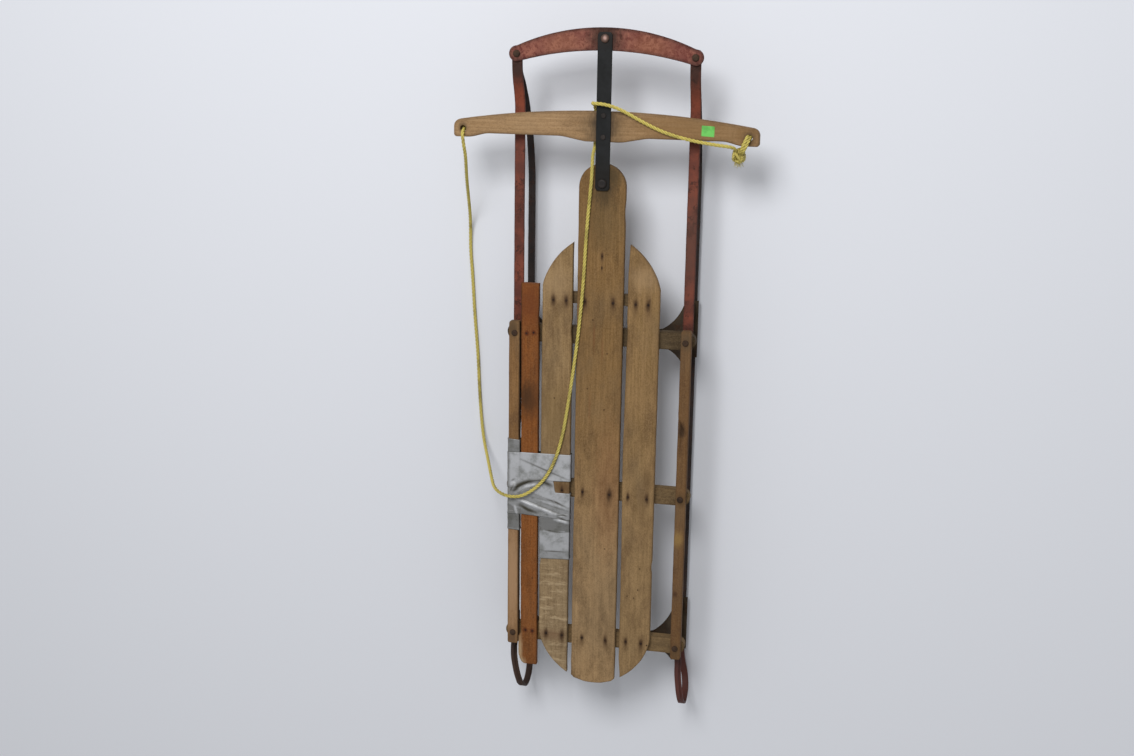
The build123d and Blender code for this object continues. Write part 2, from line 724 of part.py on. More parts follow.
def band_section(spread):
    """Outline round the rail and the boards beside it, a spread outside their faces."""
    Polyline(
        (-rail_outer_x - spread, bench_top - spread),
        (-rail_outer_x - spread, rail_top + spread),
        (-rail_inner_x + spread, rail_top + spread),
        (-rail_inner_x + spread, deck_top + spread),
        (-left_slat_inner_x + spread, deck_top + spread),
        (-left_slat_inner_x + spread, bench_top - spread),
        close=True,
    )


tape_bands = (
    ("tape_front_band", tape_front_edge_y, tape_front_band_y),
    ("tape_rear_band", tape_rear_band_y, tape_rear_edge_y),
)
for name, rear_y, front_y in tape_bands:
    with BuildPart() as tape_band:
        with BuildSketch(Plane.XZ.offset(-rear_y)):
            with BuildLine():
                band_section(tape_fit + tape_thickness)
            make_face()
            with BuildLine():
                band_section(tape_fit)
            make_face(mode=Mode.SUBTRACT)
        extrude(amount=rear_y - front_y)
    tape_band.part.label = name
    export_step(tape_band.part, "parts/" + name + ".step")

with BuildPart() as tape_slat_wrap:
    with BuildSketch(Plane.XZ.offset(-tape_slat_rear_y)):
        with Locations((-(left_slat_inner_x + left_slat_outer_x) / 2, bench_top + slat_thickness / 2)):
            Rectangle(slat_width + tape_outside, slat_thickness + tape_outside)
            Rectangle(slat_width + tape_inside, slat_thickness + tape_inside, mode=Mode.SUBTRACT)
    extrude(amount=tape_slat_rear_y - tape_rear_band_y)
tape_slat_wrap.part.label = "tape_slat_wrap"
export_step(tape_slat_wrap.part, "parts/tape_slat_wrap.step")

tape_rail_places = ((tape_front_band_y, tape_rail_front_y), (tape_rail_rear_y, tape_rear_band_y))
with BuildPart() as tape_rail_wraps:
    for rear_y, front_y in tape_rail_places:
        with BuildSketch(Plane.XZ.offset(-rear_y)):
            with Locations((-rail_x, bench_top + rail_thickness / 2)):
                Rectangle(rail_width + tape_outside, rail_thickness + tape_outside)
                Rectangle(rail_width + tape_inside, rail_thickness + tape_inside, mode=Mode.SUBTRACT)
        extrude(amount=rear_y - front_y)
tape_rail_wraps.part.label = "tape_rail_wraps"
export_step(tape_rail_wraps.part, "parts/tape_rail_wraps.step")

# Tow rope: one twisted cord from a knot under the steering bar's left end, down to the
# floor, back over the left rail, along the deck, under the bar, over the strap and
# across to a knot at the right end. The route's points are chosen by hand.
rope_diameter = 6.5
rope_left_points = (
    (-246, rear + 1066, 106),
    (-246, rear + 1066, 139),
    (-244, rear + 1040, 139),
    (-243.5, rear + 1026, 130),
)
rope_loop_points = (
    (-243.5, rear + 1026, 130),
    (-243, rear + 1012, 121),
    (-251, rear + 974, 86),
    (-258, rear + 934, 50),
    (-264, rear + 900, 22),
    (-268, rear + 868, 7),
    (-269, rear + 832, 3.4),
    (-265, rear + 785, 3.6),
    (-260, rear + 710, 3.4),
    (-252, rear + 635, 3.6),
    (-249, rear + 568, 3.4),
    (-245, rear + 508, 4.2),
    (-236, rear + 467, 16),
    (-220, rear + 437, 46),
    (-203, rear + 416, 88),
    (-188, rear + 405, 127),
    (-166, rear + 400, 144),
    (-139, rear + 403, 143),
    (-114, rear + 421, 137),
    (-92, rear + 448, 135.5),
    (-75, rear + 487, 135),
    (-63, rear + 535, 135),
    (-55, rear + 595, 135),
    (-47, rear + 662, 135),
    (-38, rear + 735, 135),
    (-31, rear + 812, 135),
    (-24, rear + 890, 135),
    (-19, rear + 955, 135),
    (-18, rear + 998, 138),
    (-18, rear + 1026, 131),
    (-18, rear + 1033.5, 121),
)
rope_bar_points = (
    (-18, rear + 1033.5, 121),
    (-18, rear + 1041, 111),
    (-18, rear + 1066, 106.5),
    (-18, rear + 1096, 106.5),
    (-19, rear + 1114, 118),
    (-19, rear + 1116, 142),
    (4, rear + 1115, 145),
    (30, rear + 1107, 140),
    (64, rear + 1088, 135),
    (104, rear + 1070, 135),
    (148, rear + 1059, 135),
    (190, rear + 1053, 136),
    (212, rear + 1051, 135),
    (223, rear + 1048, 130),
    (224.5, rear + 1038, 121),
)
rope_tie_points = (
    (233.5, rear + 1038.5, 121.5),
    (237, rear + 1045, 140),
    (246, rear + 1066, 140),
    (246, rear + 1066, 106),
    (238, rear + 1048, 103),
    (231, rear + 1036, 110),
)


def corner_radii(name, points):
    """Each corner's arc: 0.45 of its shorter run, divided by the tangent of half the turn."""
    radii = []
    for before, corner, after in zip(points, points[1:], points[2:]):
        first = Vector(*corner) - Vector(*before)
        second = Vector(*after) - Vector(*corner)
        half_turn = math.radians(first.get_angle(second)) / 2
        radii.append(0.45 * min(first.length, second.length) / math.tan(half_turn))
    print(name, "radii", [round(radius, 1) for radius in radii])
    return radii


ropes = (
    ("rope_left_end", rope_left_points),
    ("rope_loop", rope_loop_points),
    ("rope_bar_run", rope_bar_points),
    ("rope_right_tie", rope_tie_points),
)
for name, points in ropes:
    with BuildPart() as rope:
        with BuildLine() as route:
            FilletPolyline(*points, radius=corner_radii(name, points))
        line = route.wires()[0]
        with BuildSketch(Plane(origin=line @ 0, z_dir=line % 0)):
            Circle(rope_diameter / 2)
        sweep(path=line)
    rope.part.label = name
    full_volume = math.pi * rope_diameter**2 / 4 * line.length
    print(name, "length", round(line.length), "volume share", round(rope.part.volume / full_volume, 4))
    export_step(rope.part, "parts/" + name + ".step")

# Knots of the rope: a stopper under the left hole and the ball behind the right one
knots = (
    ("rope_left_knot", 9, (-246, rear + 1066, 106)),
    ("rope_right_knot", 12.5, (228.5, rear + 1034.5, 117)),
)
for name, radius, centre in knots:
    with BuildPart() as knot:
        with Locations(centre):
            Sphere(radius)
    knot.part.label = name
    export_step(knot.part, "parts/" + name + ".step")
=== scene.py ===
import math
import random

import bmesh
import bpy
from mathutils import Matrix, Vector, noise
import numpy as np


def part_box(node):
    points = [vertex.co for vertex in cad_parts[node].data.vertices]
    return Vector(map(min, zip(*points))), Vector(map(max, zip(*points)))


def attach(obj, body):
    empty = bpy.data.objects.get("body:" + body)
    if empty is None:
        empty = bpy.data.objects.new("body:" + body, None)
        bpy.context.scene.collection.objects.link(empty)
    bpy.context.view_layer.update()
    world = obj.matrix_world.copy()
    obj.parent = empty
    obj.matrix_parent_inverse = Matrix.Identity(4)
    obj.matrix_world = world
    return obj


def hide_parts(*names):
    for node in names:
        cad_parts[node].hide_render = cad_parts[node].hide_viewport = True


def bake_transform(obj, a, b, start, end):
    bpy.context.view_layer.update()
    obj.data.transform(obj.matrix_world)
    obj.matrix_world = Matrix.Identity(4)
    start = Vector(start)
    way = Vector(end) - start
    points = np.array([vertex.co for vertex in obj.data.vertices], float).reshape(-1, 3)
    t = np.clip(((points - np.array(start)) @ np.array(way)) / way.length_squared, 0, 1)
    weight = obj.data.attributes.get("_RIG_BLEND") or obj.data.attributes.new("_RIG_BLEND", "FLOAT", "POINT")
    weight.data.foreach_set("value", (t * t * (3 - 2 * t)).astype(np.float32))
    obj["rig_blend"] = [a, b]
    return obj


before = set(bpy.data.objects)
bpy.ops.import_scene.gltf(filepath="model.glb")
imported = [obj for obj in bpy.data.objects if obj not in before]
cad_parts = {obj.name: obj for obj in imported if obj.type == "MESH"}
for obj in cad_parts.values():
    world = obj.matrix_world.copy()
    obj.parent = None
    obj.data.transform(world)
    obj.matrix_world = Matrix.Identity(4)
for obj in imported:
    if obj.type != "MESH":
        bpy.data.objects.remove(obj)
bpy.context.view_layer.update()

# Camera: the sled lies on its runners and is seen from above its right front corner,
# as a long lens shows it from about two and a half metres away.
camera_data = bpy.data.cameras.new("camera")
camera_data.lens = 47.18
camera_data.sensor_width = 36
camera_data.shift_x = -0.0033
camera_data.shift_y = -0.0032
camera = bpy.data.objects.new("camera", camera_data)
camera.location = (0.4701, 0.6720, 2.6209)
camera.rotation_euler = (math.radians(-14.152), math.radians(12.022), math.radians(0.911))
bpy.context.scene.collection.objects.link(camera)
bpy.context.scene.camera = camera
bpy.context.scene.view_settings.view_transform = "Standard"


# Tow rope: a cheap yellow three-strand plastic cord, about two metres long. It is knotted under
# the left hole of the steering bar, lies on the floor beside the runner, comes back over the
# left rail, runs up the deck and under the bar, and is tied off at the right hole.
def paint(red, green, blue):
    """A colour written as it looks on a screen, 0 to 255, as a shader wants it."""
    shares = [value / 255 for value in (red, green, blue)]
    return (*(n / 12.92 if n <= 0.04045 else ((n + 0.055) / 1.055) ** 2.4 for n in shares), 1)


def wired(tree, made, sockets):
    """Sets a node's inputs, each to a value or to another node's output."""
    for socket, value in sockets.items():
        if isinstance(value, bpy.types.NodeSocket):
            tree.links.new(value, made.inputs[socket])
        else:
            made.inputs[socket].default_value = value
    return made


def add_node(tree, kind, sockets, **settings):
    made = tree.nodes.new(kind)
    for name, value in settings.items():
        setattr(made, name, value)
    return wired(tree, made, sockets)


def add_math(tree, operation, *values):
    return add_node(tree, "ShaderNodeMath", dict(enumerate(values)), operation=operation).outputs[0]


def times(tree, first, second, plus=0.0):
    """Two values multiplied, and a third added."""
    return add_math(tree, "MULTIPLY_ADD", first, second, plus)


def add_mix(tree, amount, first, second):
    sockets = {0: amount, 6: first, 7: second}
    return add_node(tree, "ShaderNodeMix", sockets, data_type="RGBA").outputs[2]


def add_range(tree, value, low, high, to_low=0.0, to_high=1.0):
    """A value spread smoothly from one range to another, and held at its ends."""
    labels = ("Value", "From Min", "From Max", "To Min", "To Max")
    sockets = dict(zip(labels, (value, low, high, to_low, to_high)))
    return add_node(tree, "ShaderNodeMapRange", sockets, interpolation_type="SMOOTHSTEP").outputs[0]


def add_layers(tree, ground, *layers):
    """Colours laid over a ground in turn, each by a value, its range and what that is spread to."""
    for value, low, high, to_low, to_high, colour in layers:
        ground = add_mix(tree, add_range(tree, value, low, high, to_low, to_high), ground, colour)
    return ground


def moved(tree, place, scale, turn=0.0, shift=(0, 0, 0)):
    """A place on the piece, scaled in each direction, turned in plan and shifted."""
    sockets = {"Vector": place, "Scale": scale, "Rotation": (0, 0, turn), "Location": shift}
    return add_node(tree, "ShaderNodeMapping", sockets).outputs[0]


def add_noise(tree, place, scale, detail=4.0, roughness=0.55, distortion=0.0, shift=0.0):
    """Cloudy noise of one scale, or of its own scale in each direction."""
    if isinstance(scale, tuple):
        place, scale = moved(tree, place, scale, shift=(shift, 0, 0)), 1.0
    labels = ("Vector", "Scale", "Detail", "Roughness", "Distortion")
    sockets = dict(zip(labels, (place, scale, detail, roughness, distortion)))
    return add_node(tree, "ShaderNodeTexNoise", sockets).outputs["Fac"]


def new_group(name, ins, outs):
    """A shader node group with a place and named values as its inputs, and named values out."""
    group = bpy.data.node_groups.new(name, "ShaderNodeTree")
    add_socket = group.interface.new_socket
    add_socket("Vector", in_out="INPUT", socket_type="NodeSocketVector")
    for label, value in ins.items():
        add_socket(label, in_out="INPUT", socket_type="NodeSocketFloat").default_value = value
    for label in outs:
        add_socket(label, in_out="OUTPUT", socket_type="NodeSocketFloat")
    return group, group.nodes.new("NodeGroupInput").outputs, group.nodes.new("NodeGroupOutput")


def use_group(tree, group, sockets):
    return add_node(tree, "ShaderNodeGroup", sockets, node_tree=group).outputs


def new_material(name):
    material = bpy.data.materials.new(name)
    material.use_nodes = True
    tree = material.node_tree
    place = tree.nodes.new("ShaderNodeTexCoord").outputs["Object"]
    return material, tree, tree.nodes["Principled BSDF"], place


def finish_shader(tree, shader, colour, roughness, height, depth, strength=0.5, specular=0.5):
    """Wires colour and roughness, and a height as a bump of a real depth in metres."""
    bump = add_node(
        tree, "ShaderNodeBump", {"Height": height, "Strength": strength, "Distance": depth}
    )
    wired(tree, shader, {"Base Color": colour, "Roughness": roughness, "Normal": bump.outputs[0]})
    shader.inputs["Specular IOR Level"].default_value = specular


def new_piece(name, made, material):
    """A smooth shaded object from a bmesh, with its one material."""
    mesh = bpy.data.meshes.new(name)
    bmesh.ops.recalc_face_normals(made, faces=made.faces)
    made.to_mesh(mesh)
    made.free()
    mesh.shade_smooth()
    mesh.materials.append(material)
    piece = bpy.data.objects.new(name, mesh)
    bpy.context.scene.collection.objects.link(piece)
    return piece


def join_rings(made, first, second):
    """Quads between two closed rings with as many points each."""
    pairs = list(zip(first, second))
    return [made.faces.new((a, c, d, b)) for (a, b), (c, d) in zip(pairs, pairs[1:] + pairs[:1])]


def even_points(points, spacing):
    """A polyline's points again, evenly spaced."""
    lengths = [0.0]
    for first, second in zip(points, points[1:]):
        lengths.append(lengths[-1] + (second - first).length)
    count = max(2, round(lengths[-1] / spacing))
    result = []
    piece = 0
    for n in range(count + 1):
        want = lengths[-1] * n / count
        while piece < len(points) - 2 and lengths[piece + 1] < want:
            piece += 1
        share = (want - lengths[piece]) / max(lengths[piece + 1] - lengths[piece], 1e-9)
        result.append(points[piece].lerp(points[piece + 1], share))
    return result


def twist_strands(made, points, radius, pitch, strands=3, sides=9):
    """Strands laid round a line of points. A UV map keeps the place around and along each."""
    layer = made.loops.layers.uv.verify()
    strand_radius = radius * 0.54
    ahead = (points[1] - points[0]).normalized()
    across = ahead.orthogonal().normalized()
    spacing = (points[1] - points[0]).length
    frames = []
    for n, point in enumerate(points):
        new_ahead = (points[min(n + 1, len(points) - 1)] - points[max(n - 1, 0)]).normalized()
        across = (ahead.rotation_difference(new_ahead) @ across).normalized()
        ahead = new_ahead
        frames.append((point, across.copy(), ahead.cross(across).normalized()))
    for strand in range(strands):
        last = None
        for n, (point, side, up) in enumerate(frames):
            phase = 2 * math.pi * (n * spacing / pitch + strand / strands)
            out = side * math.cos(phase) + up * math.sin(phase)
            middle = point + out * (radius - strand_radius)
            ring = []
            for m in range(sides):
                turn = 2 * math.pi * m / sides + phase
                out = side * math.cos(turn) + up * math.sin(turn)
                ring.append(made.verts.new(middle + out * strand_radius))
            if last is None:
                made.faces.new(ring)
            else:
                for m, face in enumerate(join_rings(made, last, ring)):
                    for loop, around, along in zip(face.loops, (m, m + 1, m + 1, m), (1, 1, 0, 0)):
                        loop[layer].uv = (around / sides, (n - along) * spacing)
            last = ring
        made.faces.new(last)


rope_radius = 0.00325
rope_step = 0.0022
rope_pitch = 0.021
rope_route = (
    (-0.246, 0.446, 0.106), (-0.246, 0.446, 0.139), (-0.2435, 0.420, 0.139),
    (-0.2435, 0.406, 0.130), (-0.2445, 0.392, 0.121), (-0.253, 0.354, 0.086),
    (-0.2595, 0.314, 0.050), (-0.2645, 0.280, 0.022), (-0.268, 0.248, 0.007),
    (-0.269, 0.212, 0.0034), (-0.265, 0.165, 0.0036), (-0.261, 0.090, 0.0034),
    (-0.2545, 0.015, 0.0036), (-0.252, -0.052, 0.0034), (-0.248, -0.108, 0.0042),
    (-0.240, -0.146, 0.016), (-0.224, -0.173, 0.046), (-0.206, -0.193, 0.088),
    (-0.190, -0.204, 0.127), (-0.166, -0.210, 0.144), (-0.139, -0.211, 0.143),
    (-0.114, -0.197, 0.137), (-0.091, -0.172, 0.1355), (-0.073, -0.133, 0.135),
    (-0.061, -0.085, 0.135), (-0.052, -0.025, 0.135), (-0.043, 0.042, 0.135),
    (-0.035, 0.115, 0.135), (-0.029, 0.192, 0.135), (-0.026, 0.270, 0.135),
    (-0.021, 0.335, 0.135), (-0.017, 0.378, 0.138), (-0.018, 0.406, 0.131),
    (-0.018, 0.4135, 0.121), (-0.018, 0.421, 0.111), (-0.018, 0.446, 0.1065),
    (-0.018, 0.476, 0.1065), (-0.019, 0.494, 0.118), (-0.019, 0.496, 0.142),
    (0.004, 0.495, 0.145), (0.030, 0.487, 0.140), (0.064, 0.468, 0.135), (0.104, 0.450, 0.135),
    (0.148, 0.439, 0.135), (0.190, 0.433, 0.136), (0.212, 0.431, 0.135), (0.223, 0.428, 0.130),
    (0.2245, 0.418, 0.121), (0.2335, 0.4185, 0.1215), (0.238, 0.425, 0.140),
    (0.248, 0.448, 0.140), (0.2475, 0.4475, 0.106), (0.238, 0.428, 0.103), (0.231, 0.416, 0.110),
)
rope_curve = bpy.data.curves.new("tow_rope_route", "CURVE")
rope_curve.dimensions = "3D"
rope_spline = rope_curve.splines.new("NURBS")
rope_spline.points.add(len(rope_route) - 1)
for point, place in zip(rope_spline.points, rope_route):
    point.co = (*place, 1)
rope_spline.order_u = 3
rope_spline.use_endpoint_u = True
rope_spline.resolution_u = 16
rope_object = bpy.data.objects.new("tow_rope_route", rope_curve)
bpy.context.scene.collection.objects.link(rope_object)
bpy.context.view_layer.update()
rope_line = bpy.data.meshes.new_from_object(rope_object)
rope_samples = [vertex.co.copy() for vertex in rope_line.vertices]
bpy.data.objects.remove(rope_object)
bpy.data.curves.remove(rope_curve)
bpy.data.meshes.remove(rope_line)
rope_points = even_points(rope_samples, rope_step)

# Shiny plastic fibres that run along each strand, with dirt in patches
# and painted shade in the hollows between the strands
rope_yellow, tree, shader, place = new_material("yellow_rope")
twist = tree.nodes.new("ShaderNodeUVMap").outputs[0]
fibres = add_noise(tree, twist, (34, 260, 1), 3.0, 0.6)
dirt_and_shade = add_noise(tree, place, 38.0, 5.0, 0.6)
hollow_shade = add_node(tree, "ShaderNodeAmbientOcclusion", {"Distance": 0.004}, samples=4).outputs["AO"]
rope_dirt_and_shade = paint(110, 96, 46)
colour = add_layers(
    tree, paint(208, 192, 106), (fibres, 0.35, 0.65, 0.0, 1.0, paint(177, 161, 68)),
    (dirt_and_shade, 0.48, 0.7, 0.0, 0.55, rope_dirt_and_shade), (hollow_shade, 0.25, 0.8, 0.6, 0.0, rope_dirt_and_shade),
)
finish_shader(tree, shader, colour, 0.5, fibres, depth=0.0003, specular=0.4)
made = bmesh.new()
twist_strands(made, rope_points, rope_radius, rope_pitch)
tow_rope = new_piece("tow_rope", made, rope_yellow)
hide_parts("rope_left_end", "rope_loop", "rope_bar_run", "rope_right_tie")
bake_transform(tow_rope, "sled", "steering", start=(0, 0.24, 0), end=(0, 0.40, 0))

# Rope knots: an overhand knot under the bar's left hole. At the right one the rope comes back
# through the hole and is tied off in a ball of turns. The strands are frayed out past both.
random.seed(11)
knot_step = 0.0015
knot_pitch, tie_pitch = 0.017, 0.019
knot_unit = 0.00235
fray_reach = 0.006
fibre_radius, fibre_pitch = 0.00034, 0.05
tie_route = (
    (0.2310, 0.4165, 0.118), (0.2330, 0.4215, 0.131), (0.2352, 0.4300, 0.1402),
    (0.2425, 0.4465, 0.1412), (0.2437, 0.4482, 0.1350), (0.2437, 0.4482, 0.1100),
)
knot_pieces = []
for side, spread, winds, tie, fray_ahead, size in (
    ("left", 0.92, (), (), Vector((0.25, -0.6, -1.0)), 0.92),
    ("right", 1.15, ((0.0108, 3, 0.9), (0.0092, 5, 0.5)), tie_route, Vector((-0.1, -1.0, -0.3)),
     1.2),
):
    node = "rope_" + side + "_knot"
    low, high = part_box(node)
    middle = (low + high) / 2
    lean = Matrix.Rotation(0.7, 3, "X")
    overhand = []
    for n in range(151):
        turn = 2 * math.pi * n / 150
        x = math.sin(turn) + 2 * math.sin(2 * turn)
        y = math.cos(turn) - 2 * math.cos(2 * turn)
        place = Vector((x, y, -1.5 * math.sin(3 * turn)))
        overhand.append(middle + lean @ place * knot_unit * spread)
    made = bmesh.new()
    twist_strands(made, even_points(overhand, knot_step), rope_radius * 0.98, knot_pitch)
    for radius, rounds, tilt in winds:
        lean = Matrix.Rotation(rounds * 0.5, 3, "Y")
        wound = []
        for n in range(201):
            turn = 2 * math.pi * n / 200
            rise = tilt * math.sin(2 * turn)
            x = math.cos(rounds * turn) * math.cos(rise)
            y = math.sin(rounds * turn) * math.cos(rise)
            wound.append(middle + lean @ Vector((x, y, math.sin(rise))) * radius)
        twist_strands(made, even_points(wound, knot_step), rope_radius * 0.9, knot_pitch)
    if tie:
        doubled = [Vector(place) for place in tie]
        for again in range(3):
            cut = [doubled[0]]
            for first, second in zip(doubled, doubled[1:]):
                cut += [first.lerp(second, 0.25), first.lerp(second, 0.75)]
            doubled = cut + [doubled[-1]]
        twist_strands(made, even_points(doubled, knot_step), rope_radius * 0.98, tie_pitch)
    knot = new_piece("rope_knot_" + side, made, rope_yellow)
    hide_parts(node)
    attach(knot, "steering")

    made = bmesh.new()
    fray_ahead.normalize()
    side_way = fray_ahead.orthogonal().normalized()
    up_way = fray_ahead.cross(side_way)
    for fibre in range(60):
        turn = random.uniform(0, 2 * math.pi)
        away = random.uniform(0.1, 1.0) ** 0.6
        out = side_way * math.cos(turn) + up_way * math.sin(turn)
        start = middle + fray_ahead * fray_reach * size + out * fray_reach * size * away
        reach = random.uniform(0.006, 0.010) * size
        bend = out * away * random.uniform(0.4, 1.1) + Vector((0, 0, -0.25))
        shares = [n / 6 for n in range(7)]
        line = [start + (fray_ahead * at + bend * at * at * 0.55) * reach for at in shares]
        twist_strands(made, line, fibre_radius, fibre_pitch, strands=1, sides=3)
    fray = new_piece("rope_fray_" + side, made, rope_yellow)
    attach(fray, "steering")
    knot_pieces += [knot, fray]

# Deck boards: dry weathered softwood, sawn and rounded by years of use, nailed to the benches.
# Iron has bled from each nail along the grain. The slats beside the centre board taper at both
# ends. The first group gives the marks that all the wood on the sled has.
grain, given, result = new_group(
    "wood_grain", {"Ring Width": 0.016, "Wander": 0.5},
    ("Streaks", "Figure", "Clouds", "Pores", "Specks", "Mottle"),
)
wood_marks = {}
for label, scale, detail, roughness, distortion in (
    ("Streaks", (330, 15, 330), 5.0, 0.62, 0.0), ("Clouds", (34, 13, 34), 7.0, 0.66, 0.3),
    ("Pores", (1100, 90, 1100), 3.0, 0.6, 0.0), ("Specks", (420, 300, 420), 3.0, 0.65, 0.0),
    ("Mottle", (150, 95, 150), 6.0, 0.78, 0.4),
):
    wood_marks[label] = add_noise(grain, given["Vector"], scale, detail, roughness, distortion)
drift = add_noise(grain, given["Vector"], (9, 1.3, 9), 3.0, 0.5)
wobble = add_noise(grain, given["Vector"], (60, 6, 60), 2.0)
across = add_node(grain, "ShaderNodeSeparateXYZ", {0: given["Vector"]}).outputs["X"]
rings = add_math(grain, "DIVIDE", across, given["Ring Width"])
rings = times(grain, drift, times(grain, given["Wander"], 14.0), rings)
saw = add_math(grain, "FRACT", times(grain, wobble, 0.5, rings))
wood_marks["Figure"] = times(grain, saw, add_range(grain, saw, 0.75, 1.0, 1.0, 0.0))
wired(grain, result, wood_marks)

# A ragged oval patch on a piece: iron stain round a nail, grime, a part of another colour,
# or a strip of painted shade
patch, given, result = new_group(
    "ragged_patch",
    {"Noise": 0.5, "Centre X": 0.0, "Centre Y": 0.0, "Half X": 0.01, "Half Y": 0.01, "Ragged": 0.9},
    ("Mask",),
)
spot = add_node(patch, "ShaderNodeSeparateXYZ", {0: given["Vector"]}).outputs
side_way, long_way = (
    add_math(
        patch, "DIVIDE", add_math(patch, "SUBTRACT", spot[axis], given["Centre " + axis]),
        given["Half " + axis],
    )
    for axis in ("X", "Y")
)
reach = times(patch, side_way, side_way, times(patch, long_way, long_way))
shift = times(patch, add_math(patch, "SUBTRACT", given["Noise"], 0.5), given["Ragged"])
reach = add_math(patch, "SUBTRACT", add_math(patch, "SQRT", reach), shift)
wired(patch, result, {"Mask": add_range(patch, reach, 0.15, 1.15, 1.0, 0.0)})

# Edges of a piece, found by rounding its normal: a mask that darkens them as painted shade,
# and one for where they are rubbed
edge_shade_and_wear, given, result = new_group("edge_shade_and_wear_masks", {"Width": 0.002}, ("Edge Shade", "Rubbed"))
rounded = add_node(edge_shade_and_wear, "ShaderNodeBevel", {"Radius": given["Width"]}, samples=4).outputs[0]
plain = edge_shade_and_wear.nodes.new("ShaderNodeNewGeometry").outputs["Normal"]
facing = add_node(edge_shade_and_wear, "ShaderNodeVectorMath", {0: rounded, 1: plain}, operation="DOT_PRODUCT")
edge = add_range(edge_shade_and_wear, facing.outputs["Value"], 0.88, 0.995, 1.0, 0.0)
patchy = add_noise(edge_shade_and_wear, given["Vector"], 110.0, 5.0, 0.65)
wired(edge_shade_and_wear, result, {"Edge Shade": edge, "Rubbed": times(edge_shade_and_wear, edge, add_range(edge_shade_and_wear, patchy, 0.4, 0.6))})


def add_patches(tree, place, ground, patches):
    """Colours over the ground in ragged patches: x, y, half widths, strength and colour of each."""
    sockets = {"Vector": place, "Noise": add_noise(tree, place, (260, 70, 260), 5.0, 0.7)}
    for *spot, strength, colour in patches:
        sockets.update(zip(("Centre X", "Centre Y", "Half X", "Half Y"), spot))
        mask = use_group(tree, patch, sockets)["Mask"]
        ground = add_mix(tree, times(tree, mask, strength), ground, paint(*colour))
    return ground


def wood(name, pale, mid, dark, patches=(), seed=0.0, turn=0.0, ring_width=0.016, wander=0.5,
         figured=0.22, clouding=0.62, weathering=0.3, gloss=0.72, bleached=None, edge_shade=0.6,
         edge_width=0.0045, flaked=False):
    """Old wood with its grain along Y, or along X with a quarter turn, bleached to its rear."""
    material, tree, shader, place = new_material(name)
    pale, mid, dark = paint(*pale), paint(*mid), paint(*dark)
    turned = moved(tree, place, (1, 1, 1), turn, (seed, seed * 0.7, 0))
    sockets = {"Vector": turned, "Ring Width": ring_width, "Wander": wander}
    marks = use_group(tree, grain, sockets)
    edges = use_group(tree, edge_shade_and_wear, {"Vector": place, "Width": edge_width})
    place_y = add_node(tree, "ShaderNodeSeparateXYZ", {0: place}).outputs["Y"]
    light, deep = pale, mid
    if bleached:
        bleached = paint(*bleached)
        to_rear = add_range(tree, place_y, -0.40, 0.05, 0.65, 0.0)
        light = add_mix(tree, to_rear, pale, bleached)
        deep = add_mix(tree, to_rear, mid, (*(0.70 * value for value in bleached[:3]), 1.0))
    ground = add_layers(tree, light, (marks["Streaks"], 0.20, 0.80, 0.0, 1.0, deep))
    ground = add_mix(tree, times(tree, marks["Figure"], figured), ground, dark)
    dull = add_noise(tree, place, (7, 4, 7), 4.0, 0.6, shift=seed + 3)
    bright = add_mix(tree, 0.2, light, paint(205, 176, 138))
    ground = add_layers(
        tree, ground, (marks["Clouds"], 0.42, 0.72, 0.0, clouding, dark),
        (marks["Mottle"], 0.30, 0.50, 0.35, 0.0, dark),
        (marks["Mottle"], 0.50, 0.72, 0.0, 0.4, light),
        (marks["Specks"], 0.36, 0.50, 0.26, 0.0, dark),
        (marks["Specks"], 0.50, 0.62, 0.0, 0.24, bright),
        (dull, 0.45, 0.7, 0.0, weathering, paint(112, 96, 74)),
        (marks["Pores"], 0.60, 0.76, 0.0, 0.52, dark),
        (marks["Specks"], 0.60, 0.70, 0.0, 0.6, dark),
    )
    height = times(tree, marks["Streaks"], 0.6, times(tree, marks["Pores"], -0.5))
    height = times(tree, marks["Specks"], -0.3, height)
    if flaked:
        flake_length = 0.017
        warp = add_noise(tree, place, (26, 55, 26), 6.0, 0.62, shift=seed)
        ripples = add_noise(tree, place, (30, 190, 30), 5.0, 0.66, 0.6, seed)
        phase = times(tree, warp, 17.0, times(tree, place_y, 2 * math.pi / flake_length))
        flake = times(tree, add_math(tree, "SINE", phase), 0.45)
        flake = times(tree, add_math(tree, "SUBTRACT", ripples, 0.5), 6.0, flake)
        flake = times(tree, flake, add_range(tree, place_y, -0.345, -0.325, 1.0, 0.0))
        ground = add_layers(
            tree, ground, (flake, 0.2, 1.1, 0.0, 0.46, paint(182, 160, 128)),
            (flake, -1.0, -0.3, 0.24, 0.0, dark),
        )
        height = times(tree, flake, 0.9, height)
    ground = add_patches(tree, place, ground, patches)
    # The edges are darkened all round as painted shade; rubbed places are lighter wear
    edge_shade_colour = add_mix(tree, 0.45, dark, paint(30, 24, 18))
    ground = add_mix(tree, times(tree, edges["Edge Shade"], edge_shade), ground, edge_shade_colour)
    ground = add_mix(tree, times(tree, edges["Rubbed"], 0.2), ground, pale)
    rough = add_range(tree, marks["Streaks"], 0.3, 0.7, gloss - 0.08, gloss + 0.12)
    finish_shader(tree, shader, ground, rough, height, depth=0.0006, specular=0.14)
    return material


def board_section(left, right, bottom, top, edge, columns):
    """Points round a board's cross section: flat faces in columns, corners as arcs."""
    edge = min(edge, (right - left) * 0.48, (top - bottom) * 0.48)
    width = right - left - 2 * edge
    quarter = [(math.sin(math.pi / 2 * n / 4), math.cos(math.pi / 2 * n / 4)) for n in range(5)]
    points = [(left + edge + width * n / columns, top) for n in range(columns)]
    points += [(right - edge + edge * away, top - edge + edge * up) for away, up in quarter]
    points += [(right - edge + edge * up, bottom + edge - edge * away) for away, up in quarter]
    points += [(right - edge - width * n / columns, bottom) for n in range(1, columns)]
    points += [(left + edge - edge * away, bottom + edge - edge * up) for away, up in quarter]
    points += [(left + edge - edge * up, top - edge + edge * away) for away, up in quarter[:-1]]
    return points


